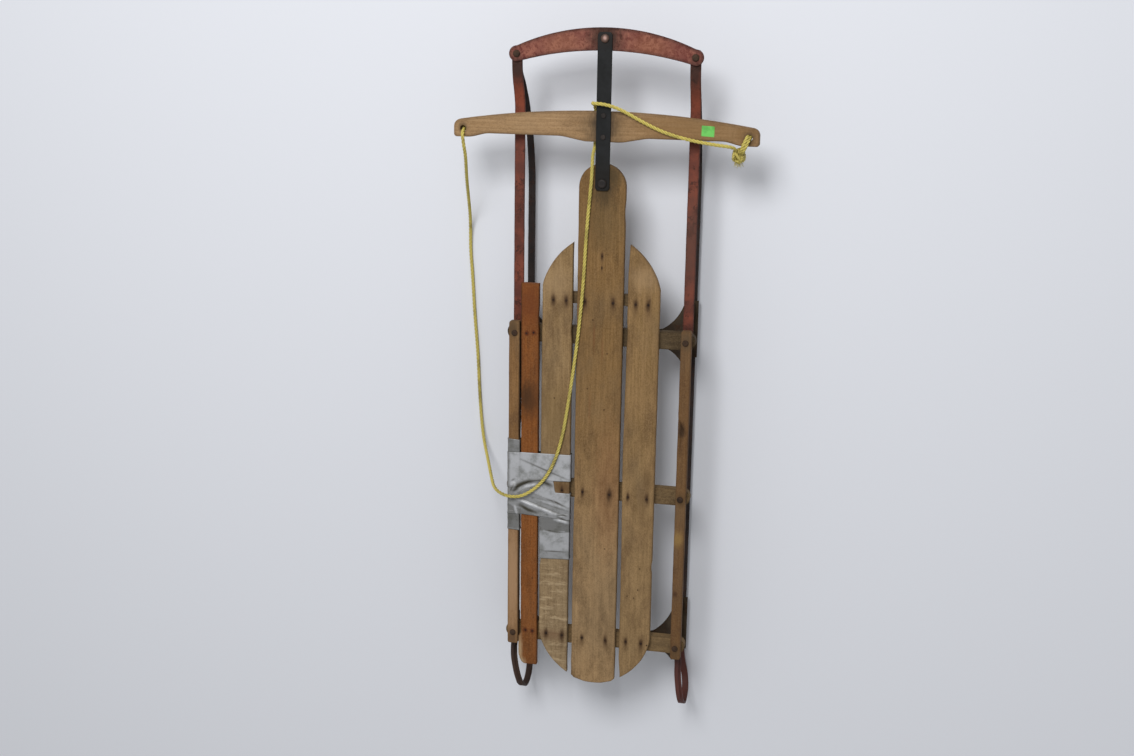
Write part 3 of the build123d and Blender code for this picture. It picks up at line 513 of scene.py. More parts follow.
def segment_distance(x, y, ends):
    """How far a place in plan is from a straight line between two ends, and how far along it."""
    x0, y0, x1, y1 = ends
    run_x, run_y = x1 - x0, y1 - y0
    share = ((x - x0) * run_x + (y - y0) * run_y) / (run_x * run_x + run_y * run_y)
    share = max(0.0, min(1.0, share))
    return math.hypot(x - x0 - share * run_x, y - y0 - share * run_y), share


def skin_rings(made, rings):
    """A closed skin over a row of rings."""
    for first, second in zip(rings, rings[1:]):
        join_rings(made, first, second)
    made.faces.new(rings[0])
    made.faces.new(rings[-1])


def worn_board(name, edges_at, low, high, material, edge=0.0018, columns=14, step=0.005, seed=0.0,
               wear=0.0008, bites=(), cracks=()):
    """A board along Y between two edge lines, with worn corners, small bites and open cracks."""
    made = bmesh.new()
    length = high.y - low.y
    count = max(8, round(length / step))
    curve = [edge * (1 - math.cos(math.pi / 2 * n / 6)) for n in range(6)]
    places = [low.y + inset for inset in curve]
    places += [low.y + edge + (length - 2 * edge) * n / count for n in range(count + 1)]
    places += [high.y - inset for inset in reversed(curve)]
    rings = []
    for y in places:
        left, right = edges_at(y)
        inset = edge - min(edge, y - low.y, high.y - y)
        drop = edge - math.sqrt(max(0.0, edge * edge - inset * inset))
        for bite_side, bite_y, half_length, depth in bites:
            share = depth * max(0.0, 1 - ((y - bite_y) / half_length) ** 2)
            left += share * (bite_side < 0)
            right -= share * (bite_side > 0)
        ring = []
        for x, z in board_section(left, right, low.z + drop, high.z - drop, edge, columns):
            place = Vector((x, y, z))
            coarse = noise.noise(Vector((x * 9 + seed, y * 4, z * 9)))
            fine = noise.noise(Vector((x * 60 + seed, y * 22, z * 60)))
            out = max(-1.0, min(1.0, (2 * x - left - right) / max(1e-6, right - left)))
            place.x -= out ** 11 * wear * abs(fine) * 0.9
            if z > (high.z + low.z) / 2:
                sunk = min(0.0, wear * (0.35 * coarse + 0.45 * fine))
                place.z += sunk - out ** 12 * wear * abs(coarse)
                for ends, half, depth in cracks:
                    wander = 0.0008 * noise.noise(Vector((x * 130, y * 130, seed)))
                    away, share = segment_distance(x + wander, y, ends)
                    gape = math.sin(math.pi * (0.08 + 0.84 * share))
                    place.z -= depth * gape * max(0.0, 1 - away / half)
            ring.append(made.verts.new(place))
        rings.append(ring)
    skin_rings(made, rings)
    return new_piece(name, made, material)


def cut_corners(low, high, corner, widened=0.0):
    """Edge lines of a straight strip with rounded corners in plan."""
    def edges_at(y):
        inset = corner - min(corner, y - low.y, high.y - y)
        cut = corner - math.sqrt(max(0.0, corner ** 2 - inset ** 2))
        return low.x + cut, high.x + widened - cut
    return edges_at


def bulged_edge(first, second, bulge):
    """Half width at y for an end cut as an arc that bulges past the line between two corners."""
    run = math.hypot(second[0] - first[0], second[1] - first[1])
    radius = (run * run / 4 + bulge * bulge) / (2 * bulge)
    out_x = abs(second[1] - first[1]) / run
    out_y = (first[0] - second[0]) / run * (1 if second[1] > first[1] else -1)
    centre_x = (first[0] + second[0]) / 2 - out_x * (radius - bulge)
    centre_y = (first[1] + second[1]) / 2 - out_y * (radius - bulge)
    return lambda y: centre_x + math.sqrt(max(0.0, radius * radius - (y - centre_y) ** 2))


deck_nails = (
    (-0.083, 0.154), (-0.060, 0.154), (-0.027, 0.154), (0.023, 0.154), (0.063, 0.154),
    (0.085, 0.154), (-0.063, -0.195), (-0.025, -0.195), (0.024, -0.196), (0.058, -0.198),
    (0.092, -0.199), (-0.089, -0.476), (-0.059, -0.477), (-0.021, -0.478), (0.023, -0.479),
    (0.061, -0.477), (0.089, -0.478),
)
small_nails = ((0.002, 0.235), (0.002, 0.215), (0.100, -0.480))
random.seed(9)


def nail_stains(nails, low, high, size=1.0):
    """Iron that has bled from the nails between two sides: a brown streak and a black spot."""
    stains = []
    for x, y in nails:
        if low.x < x < high.x:
            spread = size * random.uniform(0.7, 1.15)
            stains += [
                (x, y - 0.003 * spread, 0.0080 * spread, 0.026 * spread, 0.6, (84, 62, 41)),
                (x, y, 0.0052 * spread, 0.013 * spread, 0.85, (54, 36, 22)),
            ]
    return stains


def pin_knots(*places):
    return [(x, y, 0.0017, 0.0024, 0.9, (58, 38, 23)) for x, y in places]


low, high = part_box("centre_board")
board_half = high.x
board_rear = low.y
nose_centre = high.y - board_half
tail_bow = 0.009
tail_bow_radius = (board_half ** 2 + tail_bow ** 2) / (2 * tail_bow)


def board_edges(y):
    """The centre board's sides: its nose is half a circle and its tail a shallow arc."""
    if y > nose_centre:
        half = math.sqrt(max(1e-7, board_half ** 2 - (y - nose_centre) ** 2))
    else:
        past = max(0.0, tail_bow_radius - (y - board_rear))
        half = min(board_half, math.sqrt(max(1e-5, tail_bow_radius ** 2 - past ** 2)))
    return -half, half


board_wood = wood(
    "centre_board_wood", (134, 103, 64), (111, 84, 49), (78, 57, 34),
    [(0.022, -0.19, 0.035, 0.16, 0.3, (128, 84, 55)),
     (0.004, 0.300, 0.045, 0.075, 0.45, (84, 70, 47)),
     (0.016, 0.375, 0.026, 0.030, 0.75, (66, 55, 37)),
     (0.002, 0.345, 0.024, 0.034, 0.7, (58, 48, 34)),
     (-0.0094, 0.092, 0.003, 0.034, 0.4, (108, 66, 38)),
     (0.006, 0.070, 0.0026, 0.03, 0.35, (106, 66, 40)),
     (-0.015, -0.035, 0.003, 0.04, 0.3, (110, 68, 40)),
     *pin_knots((-0.012, 0.122), (0.0145, 0.0634), (-0.0197, -0.0023), (0.0113, -0.039)),
     *pin_knots((0.018, -0.30)), *nail_stains(deck_nails, low, high),
     *nail_stains(small_nails, low, high, 0.5)],
    seed=1.7, bleached=(176, 146, 108),
)
board = worn_board(
    "deck_centre_board", board_edges, low, high, board_wood, seed=2.0, columns=20,
    bites=((1, 0.31, 0.02, 0.0012), (-1, -0.2, 0.03, 0.001)),
)
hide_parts("centre_board")
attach(board, "sled")

slat_front_taper, slat_front_bulge = 0.077, 0.009
slat_rear_taper, slat_rear_bulge = 0.076, 0.010
for side, sign, inner_spread, seed, pale, mid, bleached, tints, cracks in (
    ("left", -1, 0.0, 4.1, (152, 125, 88), (124, 99, 65), (166, 144, 112),
     [(-0.080, -0.06, 0.04, 0.09, 0.35, (112, 88, 50)),
      (-0.078, 0.185, 0.035, 0.04, 0.4, (160, 134, 100)),
      (-0.062, -0.190, 0.026, 0.022, 0.9, (92, 68, 43)),
      (-0.080, -0.478, 0.035, 0.014, 0.5, (104, 74, 52)), *pin_knots((-0.0792, -0.0237))],
     [((-0.075, -0.52, -0.073, -0.36), 0.0014, 0.0016)]),
    ("right", 1, 0.0027, 7.3, (145, 115, 77), (117, 92, 56), (154, 127, 90),
     [(0.092, -0.165, 0.010, 0.035, 0.45, (88, 66, 42)),
      (0.084, -0.215, 0.010, 0.04, 0.4, (92, 70, 46)),
      (0.078, 0.20, 0.035, 0.03, 0.4, (158, 132, 100)),
      *pin_knots((0.0833, -0.3323), (0.0808, -0.3737), (0.0738, -0.39), (0.0614, -0.3874))],
     [((0.094, -0.40, 0.092, -0.28), 0.0012, 0.0012)]),
):
    low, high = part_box(side + "_slat")
    inner, outer = sorted((abs(low.x), abs(high.x)))
    shoulder = high.y - slat_front_taper
    heel = low.y + slat_rear_taper
    front_edge = bulged_edge((outer, shoulder), (inner, high.y), slat_front_bulge)
    rear_edge = bulged_edge((outer, heel), (inner, low.y), slat_rear_bulge)

    def slat_edges(y):
        """The slat's sides: its ends are cut to arcs, and the right one is wider in its middle."""
        half = front_edge(y) if y > shoulder else rear_edge(y) if y < heel else outer
        half = min(outer, max(half, inner + 0.0008))
        spread = inner_spread * min(1.0, (high.y - y) / 0.05, (y - low.y) / 0.04)
        spread *= 1 + 0.7 * math.exp(-((y + 0.13) / 0.12) ** 2)
        return (-half, -inner) if sign < 0 else (inner - spread, half)

    slat_wood = wood(
        side + "_slat_wood", pale, mid, (84, 62, 40), tints + nail_stains(deck_nails, low, high),
        seed=seed, wander=0.8, bleached=bleached, flaked=side == "left",
    )
    slat = worn_board(
        "deck_" + side + "_slat", slat_edges, low, high, slat_wood, seed=seed, cracks=cracks,
        step=0.004, columns=22, bites=((-sign, 0.1, 0.02, 0.0012), (sign, -0.33, 0.012, 0.0015)),
    )
    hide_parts(side + "_slat")
    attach(slat, "sled")

# Rails: square hardwood strips over the runners, rounded at the front, bolted down through
# the benches. The right one has split across where it was once hit.
left_rail_widened = 0.0015
for side, widened, seed, pale, mid, tints, cracks in (
    ("left", left_rail_widened, 9.2, (137, 102, 63), (115, 83, 49),
     [(-0.153, -0.37, 0.02, 0.15, 0.8, (160, 128, 97)),
      (-0.153, -0.49, 0.012, 0.022, 0.7, (78, 56, 40)),
      (-0.155, 0.10, 0.014, 0.022, 0.8, (76, 60, 42)),
      # The long narrow dark strip on the left rail's inner side is painted shade in its gap by the repair
      # board
      (-0.1417, -0.10, 0.0034, 0.75, 0.95, (44, 31, 20))], []),
    ("right", 0.0, 11.5, (114, 83, 51), (94, 67, 39),
     [(0.150, -0.268, 0.014, 0.02, 0.5, (150, 122, 72)),
      (0.149, -0.374, 0.006, 0.008, 0.8, (66, 44, 30)),
      (0.152, -0.195, 0.012, 0.016, 0.6, (66, 50, 30)),
      (0.150, -0.067, 0.010, 0.020, 0.8, (40, 28, 20)),
      (0.153, -0.485, 0.012, 0.022, 0.5, (76, 60, 42)),
      (0.153, 0.094, 0.016, 0.024, 0.8, (84, 68, 50))],
     [((0.1405, -0.040, 0.158, -0.076), 0.0024, 0.0045),
      ((0.150, -0.062, 0.149, -0.12), 0.0014, 0.0025)]),
):
    low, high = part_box(side + "_rail")
    rail_wood = wood(
        side + "_rail_wood", pale, mid, (76, 54, 37), tints, seed=seed, ring_width=0.009,
        wander=0.3,
    )
    rail = worn_board(
        "deck_" + side + "_rail", cut_corners(low, high, 0.004, widened), low, high, rail_wood,
        edge=0.0015, step=0.002, seed=seed, wear=0.0009, cracks=cracks,
    )
    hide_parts(side + "_rail")
    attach(rail, "sled")

# Repair board: an offcut of another floor with its orange stain, nailed askew between the left
# rail and slat. A strip of its outer edge has split away as far as the rear nails. Behind them
# the torn wood shows pale, down to the worn-off corner.
low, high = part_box("repair_board")
repair_outer_x, repair_outer_slant, repair_inner_slant = -0.1372, 0.0044, 0.0025
repair_strip_end, repair_strip_start = 0.062, 0.055
repair_corner_width, repair_corner_length = 0.013, 0.026
repair_nails = ((-0.1310, 0.091), (-0.1180, 0.093), (-0.1283, -0.4742), (-0.1150, -0.4748))


def repair_edges(y):
    """The repair board's sides, with the torn strip and the worn-off corner at its rear."""
    from_rear = y - low.y
    ahead = from_rear / (high.y - low.y)
    outer = repair_outer_x - repair_outer_slant * ahead
    ragged = noise.noise(Vector((y * 260, 5, 0)))
    torn = (low.y + repair_strip_end - y) / (repair_strip_end - repair_strip_start)
    outer += (low.x - outer) * max(0.0, min(1.0, torn)) + 0.0005 * ragged
    gone = max(0.0, 1 - from_rear / repair_corner_length)
    outer += repair_corner_width * (1 - math.sqrt(max(0.0, 1 - gone * gone)))
    outer += 0.001 * ragged * min(1.0, 3 * gone)
    return max(outer, low.x), high.x - repair_inner_slant * ahead


torn_wood = (158, 134, 102)
repair_wood = wood(
    "repair_board_wood", (134, 80, 33), (112, 62, 25), (66, 38, 17),
    [*pin_knots((-0.1161, -0.3699), (-0.1102, -0.3991)),
     (-0.126, 0.145, 0.03, 0.055, 0.6, (98, 50, 25)),
     (-0.126, -0.030, 0.03, 0.045, 0.85, (74, 46, 24)),
     (-0.131, -0.020, 0.012, 0.03, 0.5, (52, 36, 22)),
     (-0.1405, -0.05, 0.0022, 0.42, 0.9, (50, 30, 17)),
     (low.x, -0.515, 0.0105, 0.045, 1.0, torn_wood),
     (low.x + 0.004, -0.540, 0.013, 0.014, 1.0, torn_wood),
     *((x, y, 0.0060, 0.0065, 0.95, (74, 32, 16)) for x, y in repair_nails)],
    seed=14.0, ring_width=0.02, wander=0.35, clouding=0.5, weathering=0.1, gloss=0.6,
    bleached=(138, 84, 40),
)
repair = worn_board(
    "deck_repair_board", repair_edges, low, high, repair_wood, edge=0.0012, seed=14.0, step=0.003,
    bites=((1, 0.12, 0.02, 0.0012),),
)
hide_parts("repair_board")
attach(repair, "sled")

# Deck nails: cut nails driven through the boards into the cleat and benches, their heads
# black with rust and sunk a little into the wood.
rust, given, result = new_group(
    "rust_patches", {"Scale": 60.0, "Amount": 0.5}, ("Mask", "Tone", "Grit")
)
broad = add_noise(rust, given["Vector"], given["Scale"], 7.0, 0.68, 0.4)
grit = add_noise(rust, given["Vector"], times(rust, given["Scale"], 7.0), 4.0, 0.7)
tone = add_noise(rust, given["Vector"], times(rust, given["Scale"], 3.0), 6.0, 0.7)
level = times(rust, grit, 0.3, times(rust, broad, 0.7))
shore = add_math(rust, "SUBTRACT", 0.78, times(rust, given["Amount"], 0.5))
mask = add_range(rust, add_math(rust, "SUBTRACT", level, shore), -0.02, 0.05)
wired(rust, result, {"Mask": mask, "Tone": tone, "Grit": grit})


def rusty_steel(name, coat, coat_dark, corroded, amount, rough, scale=60.0, edge_wear=0.6,
                patches=(), outline=0.0, outline_width=0.0022, specular=0.22):
    """Old paint or oxide over steel: darker in clouds, rusted in patches and at the edges."""
    material, tree, shader, place = new_material(name)
    coat, coat_dark, corroded = paint(*coat), paint(*coat_dark), paint(*corroded)
    marks = use_group(tree, rust, {"Vector": place, "Scale": scale, "Amount": amount})
    edges = use_group(tree, edge_shade_and_wear, {"Vector": place, "Width": outline_width})
    tint = add_noise(tree, place, scale * 0.4, 6.0, 0.65)
    colour = add_layers(
        tree, coat, (tint, 0.35, 0.65, 0.0, 1.0, coat_dark),
        (marks["Grit"], 0.52, 0.72, 0.0, 0.45, coat_dark),
    )
    bare = add_math(tree, "MAXIMUM", marks["Mask"], times(tree, edges["Rubbed"], edge_wear))
    rusted = add_layers(tree, corroded, (marks["Tone"], 0.35, 0.65, 0.0, 1.0, coat_dark))
    colour = add_patches(tree, place, add_mix(tree, bare, colour, rusted), patches)
    # The outline is painted shade: the edges are darkened all round
    if outline:
        outline_shade = times(tree, edges["Edge Shade"], outline)
        colour = add_mix(tree, outline_shade, colour, paint(38, 27, 25))
    height = times(tree, marks["Grit"], times(tree, bare, 0.8, 0.2))
    rough = times(tree, bare, 0.25, rough)
    finish_shader(tree, shader, colour, rough, height, depth=0.0005, specular=specular)
    return material


def add_nail_head(made, x, y, z, radius, height, sides=12):
    """A low dome with square shoulders, standing on a round foot."""
    rings = []
    for share in (0.0, 0.35, 0.65, 0.85, 1.0):
        size = radius * math.cos(math.pi / 2 * share * 0.86) ** 0.4
        level = z + height * math.sin(math.pi / 2 * share)
        ring = []
        for n in range(sides):
            turn = 2 * math.pi * n / sides
            spot = (x + size * math.cos(turn), y + size * math.sin(turn), level)
            ring.append(made.verts.new(spot))
        rings.append(ring)
    skin_rings(made, rings)


deck_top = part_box("centre_board")[1].z
nail_sunk, nail_height = 0.0012, 0.0015
random.seed(4)
made = bmesh.new()
for nails, radius in ((deck_nails, 0.0026), (repair_nails, 0.0018), (small_nails, 0.0014)):
    for x, y in nails:
        size = radius * random.uniform(0.9, 1.1)
        height = nail_height + random.uniform(0, 0.0003)
        add_nail_head(made, x, y, deck_top - nail_sunk, size, height)
nail_finish = rusty_steel(
    "nail_finish", (52, 39, 30), (38, 29, 23), (70, 46, 30), 0.5, 0.7, 300.0, specular=0.1,
)
nail_heads = new_piece("nail_heads", made, nail_finish)
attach(nail_heads, "sled")


def finish_nodes(material, *names):
    """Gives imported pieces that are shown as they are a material."""
    for name in names:
        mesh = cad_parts[name].data
        mesh.materials.clear()
        mesh.materials.append(material)


# Benches and cleat: dark hardwood crossbars under the deck, rounded at the ends by hand. The
# boards are nailed down to them and the rails bolted through them.
bench_colours = ((118, 96, 66), (94, 76, 51), (56, 43, 30))
for name, seed, tone in (
    ("rear_bench", 20.0, 1.12), ("mid_bench", 21.3, 1.03), ("front_bench", 22.9, 0.72),
    ("front_cleat", 24.1, 0.9),
):
    toned = [[value * tone for value in colour] for colour in bench_colours]
    bench_wood = wood(
        name + "_wood", *toned, seed=seed, turn=math.pi / 2, ring_width=0.008, wander=0.4,
        weathering=0.3 * tone,
    )
    finish_nodes(bench_wood, name)

# Knees: four flared feet pressed from sheet steel, bolted under the benches and welded on the
# runners. Their paint has gone to brown rust.
knee_finish = rusty_steel(
    "knee_finish", (72, 60, 46), (50, 41, 32), (74, 50, 35), 0.45, 0.7, 50.0, specular=0.1,
)
finish_nodes(
    knee_finish, "rear_left_knee", "rear_right_knee", "front_left_knee", "front_right_knee"
)

# Steering bar: a sawn hardwood yoke riveted under the steel strap. Its varnish has worn off,
# and it is black with grease where the strap crosses it and at its rope holes.
low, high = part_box("steering_bar")
bar_y = (low.y + high.y) / 2
bar_top = high.z
grease = (58, 48, 40)
# The bar's edges are darkened over a wide band as painted shade
bar_wood = wood(
    "steering_bar_wood", (164, 133, 97), (144, 114, 79), (100, 75, 49),
    [(0.0, bar_y, 0.045, 0.05, 0.8, (84, 68, 48)), (0.0, bar_y, 0.026, 0.05, 0.85, grease),
     (0.15, bar_y, 0.14, 0.06, 0.6, (118, 88, 52)),
     (0.245, 0.455, 0.03, 0.035, 0.5, (112, 82, 46)),
     (-0.246, 0.449, 0.009, 0.009, 0.6, grease), (0.246, 0.446, 0.014, 0.014, 0.6, grease)],
    seed=25.0, turn=math.pi / 2, ring_width=0.007, wander=0.35, figured=0.35, clouding=0.5,
    weathering=0.12, gloss=0.62, edge_shade=0.8, edge_width=0.009,
)
finish_nodes(bar_wood, "steering_bar")

# Price label: a blank piece of green paper stuck on the bar and never peeled off. Its right
# front corner has come up.
label_x, label_y, label_width, label_depth = 0.1660, 0.4465, 0.0215, 0.0175
paper_thickness, corner_lift = 0.0002, 0.0011
columns, rows = 12, 9
made = bmesh.new()
corners = []
for n in range(columns + 1):
    for m in range(rows + 1):
        across, along = n / columns, m / rows
        lift = corner_lift * max(0.0, (n - 8) / 4) ** 2 * max(0.0, (m - 5) / 4)
        x = label_x + label_width * across + 0.0004 * along
        y = label_y + label_depth * along - 0.001 * across
        corners.append(made.verts.new((x, y, bar_top + paper_thickness + lift)))
for n in range(columns):
    for first in range(n * (rows + 1), n * (rows + 1) + rows):
        second = first + rows + 1
        made.faces.new([corners[at] for at in (first, second, second + 1, first + 1)])
label_paper, tree, shader, place = new_material("green_label")
faded = add_noise(tree, place, 90.0, 4.0)
colour = add_layers(tree, paint(98, 186, 80), (faded, 0.4, 0.65, 0.0, 1.0, paint(82, 162, 66)))
finish_shader(tree, shader, colour, 0.55, add_noise(tree, place, 1500.0), depth=0.0001)
label = new_piece("price_label", made, label_paper)
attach(label, "steering")

# Steering strap: black flat steel from the nose bolt over the bar to the bumper, its ends
# cut square with the corners filed off
strap_finish = rusty_steel(
    "strap_finish", (28, 29, 30), (17, 18, 18), (38, 29, 24), 0.34, 0.55, 80.0, specular=0.16,
    patches=[(0, 0.362, 0.03, 0.05, 0.6, (26, 22, 18)), (0, 0.60, 0.02, 0.02, 0.5, (34, 28, 24))],
)
low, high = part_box("steering_strap")
strap = worn_board(
    "worn_strap", cut_corners(low, high, 0.005), low, high, strap_finish, edge=0.0006, columns=6,
    step=0.004, seed=31.0, wear=0.0002,
)
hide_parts("steering_strap")
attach(strap, "steering")

# Bolts and rivets: plain carriage bolts and rivets, dull and rusted. The bumper bolt's head
# has a pale highlight painted on its middle.
for name, coat, coat_dark, corroded, amount, rough, specular, patches, bolts in (
    ("bolt_finish", (68, 52, 40), (44, 34, 27), (72, 46, 32), 0.5, 0.7, 0.12, (),
     ("left_rail_bolts", "right_rail_bolts", "bumper_rivets")),
    ("dark_bolt_finish", (44, 38, 35), (28, 25, 24), (54, 40, 32), 0.4, 0.55, 0.2, (),
     ("nose_bolt", "strap_rivets")),
    # The pale patch in the middle of the bumper bolt's head is a painted highlight
    ("highlit_bolt_finish", (92, 70, 60), (62, 46, 40), (78, 50, 38), 0.4, 0.5, 0.22,
     [(0.0005, 0.603, 0.0042, 0.0042, 0.95, (176, 142, 132))], ("bumper_bolt",)),
):
    bolt_finish = rusty_steel(
        name, coat, coat_dark, corroded, amount, rough, 160.0, patches=patches, specular=specular,
    )
    finish_nodes(bolt_finish, *bolts)

# Bumper: a crescent of flat steel in old red paint, riveted to the side bars and runners.
# Grease from the strap has spread over its middle.
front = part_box("bumper")[1].y
bumper_paint = rusty_steel(
    "bumper_paint_finish", (138, 87, 71), (112, 64, 55), (86, 40, 38), 0.54, 0.62, 150.0,
    # Its edges are darkened all round as painted shade
    outline=0.9, edge_wear=0.1, outline_width=0.010, specular=0.16,
    patches=[(-0.075, front - 0.03, 0.05, 0.03, 0.4, (146, 98, 74)),
             (0.075, front - 0.032, 0.05, 0.03, 0.4, (140, 92, 66)),
             (0.12, front - 0.05, 0.05, 0.03, 0.35, (104, 56, 48)),
             (0, 0.602, 0.040, 0.040, 0.95, (52, 38, 30)),
             (-0.152, front - 0.052, 0.013, 0.013, 0.5, (78, 50, 42)),
             (0.152, front - 0.052, 0.013, 0.013, 0.5, (78, 50, 42))],
)
finish_nodes(bumper_paint, "bumper")


# Runners: rolled steel T bars, one a side, with the long front curve, the flat and a curled
# tail. Side bars: flat steel over them at the front. The rivets of the bumper hold both, so
# their front halves bend sideways when the bar is turned.
def swept_bar(name, line, centre_x, section_at, material, bend_at=lambda y, z: 0.0):
    """A bar bent in side view. The line has y, z and the way out of the bend at each place."""
    made = bmesh.new()
    rings = []
    for y, z, out_y, out_z in line:
        ring = []
        bar_x = centre_x + bend_at(y, z)
        for across, outward in section_at(y, z):
            spot = Vector((centre_x + across * 200, y * 60, z * 60 + outward * 100))
            wear = 0.0002 * noise.noise(spot)
            reach = outward + wear
            spot = (bar_x + across + wear, y + out_y * reach, z + out_z * reach)
            ring.append(made.verts.new(spot))
        rings.append(ring)
    skin_rings(made, rings)
    return new_piece(name, made, material)


def arc_line(centre_y, centre_z, radius, start, end, count, way):
    """Places round an arc, turned from straight down; way is 1 where outward is from its centre."""
    places = []
    for n in range(count + 1):
        turn = start + (end - start) * n / count
        y, z = math.sin(turn), -math.cos(turn)
        places.append((centre_y + radius * y, centre_z + radius * z, way * y, way * z))
    return places


def straight_line(start, end, z, count, way, first=0):
    """Level places from one y toward another, without the last."""
    return [(start + (end - start) * n / count, z, 0, way) for n in range(first, count)]


low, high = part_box("left_runner")
runner_x = 0.152
runner_height = 0.012
tab_top = high.z
rear = low.y
rivet_low, rivet_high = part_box("bumper_rivets")
rivet_y = (rivet_low.y + rivet_high.y) / 2
tab_half = 0.012
tab_rear = rivet_y - tab_half
front_radius, tab_radius = 0.270, 0.025
stem_half, flange_half, flange_thickness, pad_half = 0.002, 0.006, 0.004, 0.010
front_turn = math.acos(1 - (tab_top - runner_height) / (front_radius + tab_radius))
front_centre_y = tab_rear - (front_radius + tab_radius) * math.sin(front_turn)
tail_radius = 0.044
tail_centre_y = rear + tail_radius + flange_thickness
leg_front_y = rear + 0.171
leg_z = runner_height + 2 * tail_radius
bend_z = tab_top - tab_radius
runner_line = [
    *straight_line(rivet_y + tab_half, tab_rear, tab_top, 12, -1),
    *arc_line(tab_rear, bend_z, tab_radius, math.pi, math.pi + front_turn, 8, -1)[:-1],
    *arc_line(front_centre_y, runner_height + front_radius, front_radius, front_turn, 0, 50, 1),
    *straight_line(front_centre_y, tail_centre_y, runner_height, 110, -1, 1),
    *arc_line(tail_centre_y, runner_height + tail_radius, tail_radius, 0, -math.pi, 36, 1),
    *straight_line(tail_centre_y, leg_front_y, leg_z, 24, 1, 1), (leg_front_y, leg_z, 0, 1),
]
stem_front, stem_rear = math.radians(40), math.radians(45)
stem_fade, stem_rear_fade, stem_rear_reach = 0.012, 0.006, 0.010
stem_start_y = front_centre_y + front_radius * math.sin(stem_front)
stem_end_y = tail_centre_y - tail_radius * math.sin(stem_rear)
stem_end_z = runner_height + tail_radius * (1 - math.cos(stem_rear))


def runner_section(y, z):
    """The T bar's section from its flange out: a round pad at the rivet, no stem at the ends."""
    half, stem = flange_half, 1.0
    if z > tab_top - flange_thickness:
        half = max(half, math.sqrt(max(0.0, pad_half ** 2 - (y - rivet_y) ** 2)))
    if y > stem_start_y - stem_fade:
        stem = max(0.0, min(1.0, (stem_start_y - y) / stem_fade))
    if y < stem_end_y + stem_rear_reach:
        stem = max(0.0, min(1.0, (stem_end_z - z) / stem_rear_fade))
    tip = flange_thickness + (runner_height - flange_thickness) * stem
    edge = 0.0007
    cut = edge * 0.3
    right = [
        (half - edge, 0.0), (half - cut, cut), (half, edge), (half, flange_thickness - edge),
        (half - cut, flange_thickness - cut), (half - edge, flange_thickness),
        (stem_half + edge, flange_thickness), (stem_half, flange_thickness + edge * stem),
        (stem_half, max(flange_thickness, tip - edge)), (stem_half - edge, tip),
    ]
    return right + [(-across, outward) for across, outward in reversed(right)]


runner_finish = rusty_steel(
    "runner_finish", (48, 38, 35), (32, 27, 26), (66, 44, 35), 0.5, 0.6, 60.0,
    patches=[(-runner_x, rear + 0.03, 0.03, 0.11, 0.8, (66, 48, 38)),
             (runner_x, rear + 0.03, 0.03, 0.13, 0.85, (92, 52, 45))],
)
low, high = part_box("left_side_bar")
side_width, side_thickness, side_end_radius, side_edge = 0.018, 0.004, 0.008, 0.0008
side_low_z, side_high_z = low.z + side_thickness, high.z
side_rear_y, side_front_y = low.y, high.y
rise_run = 0.090
rise_start = tab_rear - rise_run
rise_turn = 2 * math.atan((side_high_z - side_low_z) / rise_run)
rise_radius = rise_run / 2 / math.sin(rise_turn)
rise_top = side_high_z - rise_radius
end_steps = [side_end_radius * (1 - math.cos(math.pi / 2 * n / 6)) for n in range(6)]
side_line = [
    *((side_rear_y + inset, side_low_z, 0, -1) for inset in end_steps),
    *straight_line(side_rear_y + side_end_radius, rise_start, side_low_z, 60, -1),
    *arc_line(rise_start, side_low_z + rise_radius, rise_radius, 0, rise_turn, 10, 1),
    *arc_line(tab_rear, rise_top, rise_radius, math.pi + rise_turn, math.pi, 10, -1)[1:],
    *straight_line(tab_rear, side_front_y - side_end_radius, side_high_z, 8, -1, 1),
    (side_front_y - side_end_radius, side_high_z, 0, -1),
    *((side_front_y - inset, side_high_z, 0, -1) for inset in reversed(end_steps)),
]


def side_section(y, z):
    """A flat bar's section from its inner face outward, with rounded corners and ends."""
    inset = side_end_radius - min(side_end_radius, y - side_rear_y, side_front_y - y)
    half = side_width / 2 - side_end_radius
    half += math.sqrt(max(0.0, side_end_radius ** 2 - inset ** 2))
    half = max(half, side_edge * 1.2) - side_edge
    far = side_thickness - side_edge
    points = []
    for corner_x, corner_z, first in (
        (half, side_edge, 3), (half, far, 0), (-half, far, 1), (-half, side_edge, 2)
    ):
        for n in range(4):
            turn = math.pi / 2 * (first + n / 3)
            x = corner_x + side_edge * math.cos(turn)
            points.append((x, corner_z + side_edge * math.sin(turn)))
    return points


orange_rust = (142, 70, 46)
side_finish = rusty_steel(
    "side_bar_finish", (118, 60, 43), (86, 45, 35), (58, 36, 31), 0.5, 0.6, 55.0,
    # The side bars' edges are darkened all round as painted shade
    outline=0.6, outline_width=0.005,
    patches=[(-runner_x, 0.50, 0.02, 0.05, 0.45, orange_rust),
             (runner_x, 0.50, 0.02, 0.04, 0.35, orange_rust),
             (-runner_x, 0.550, 0.02, 0.040, 0.9, (48, 32, 27)),
             (runner_x, 0.550, 0.02, 0.045, 0.9, (46, 30, 24)),
             (runner_x, 0.26, 0.02, 0.12, 0.6, (84, 58, 48))],
)
loose_y = rear + 0.088
held_y, held_run = loose_y + 0.06, 0.05


def bent_tail(flat_bend, back_bend, leg_bend):
    """How far a knocked runner stands out to the right: its flat, its back end, its upper leg."""
    def at(y, z):
        if y > held_y:
            return flat_bend * max(0.0, 1 - (z - runner_height) / (tab_top - runner_height))
        loose = max(0.0, min(1.0, (loose_y - y) / (loose_y - rear)))
        loose = loose * loose * (3 - 2 * loose)
        climb = max(0.0, min(1.0, (z - runner_height) / (2 * tail_radius)))
        held = max(0.0, min(1.0, (held_y - y) / held_run))
        return back_bend * loose + (1 - loose) * (flat_bend * (1 - climb) + leg_bend * climb * held)
    return at


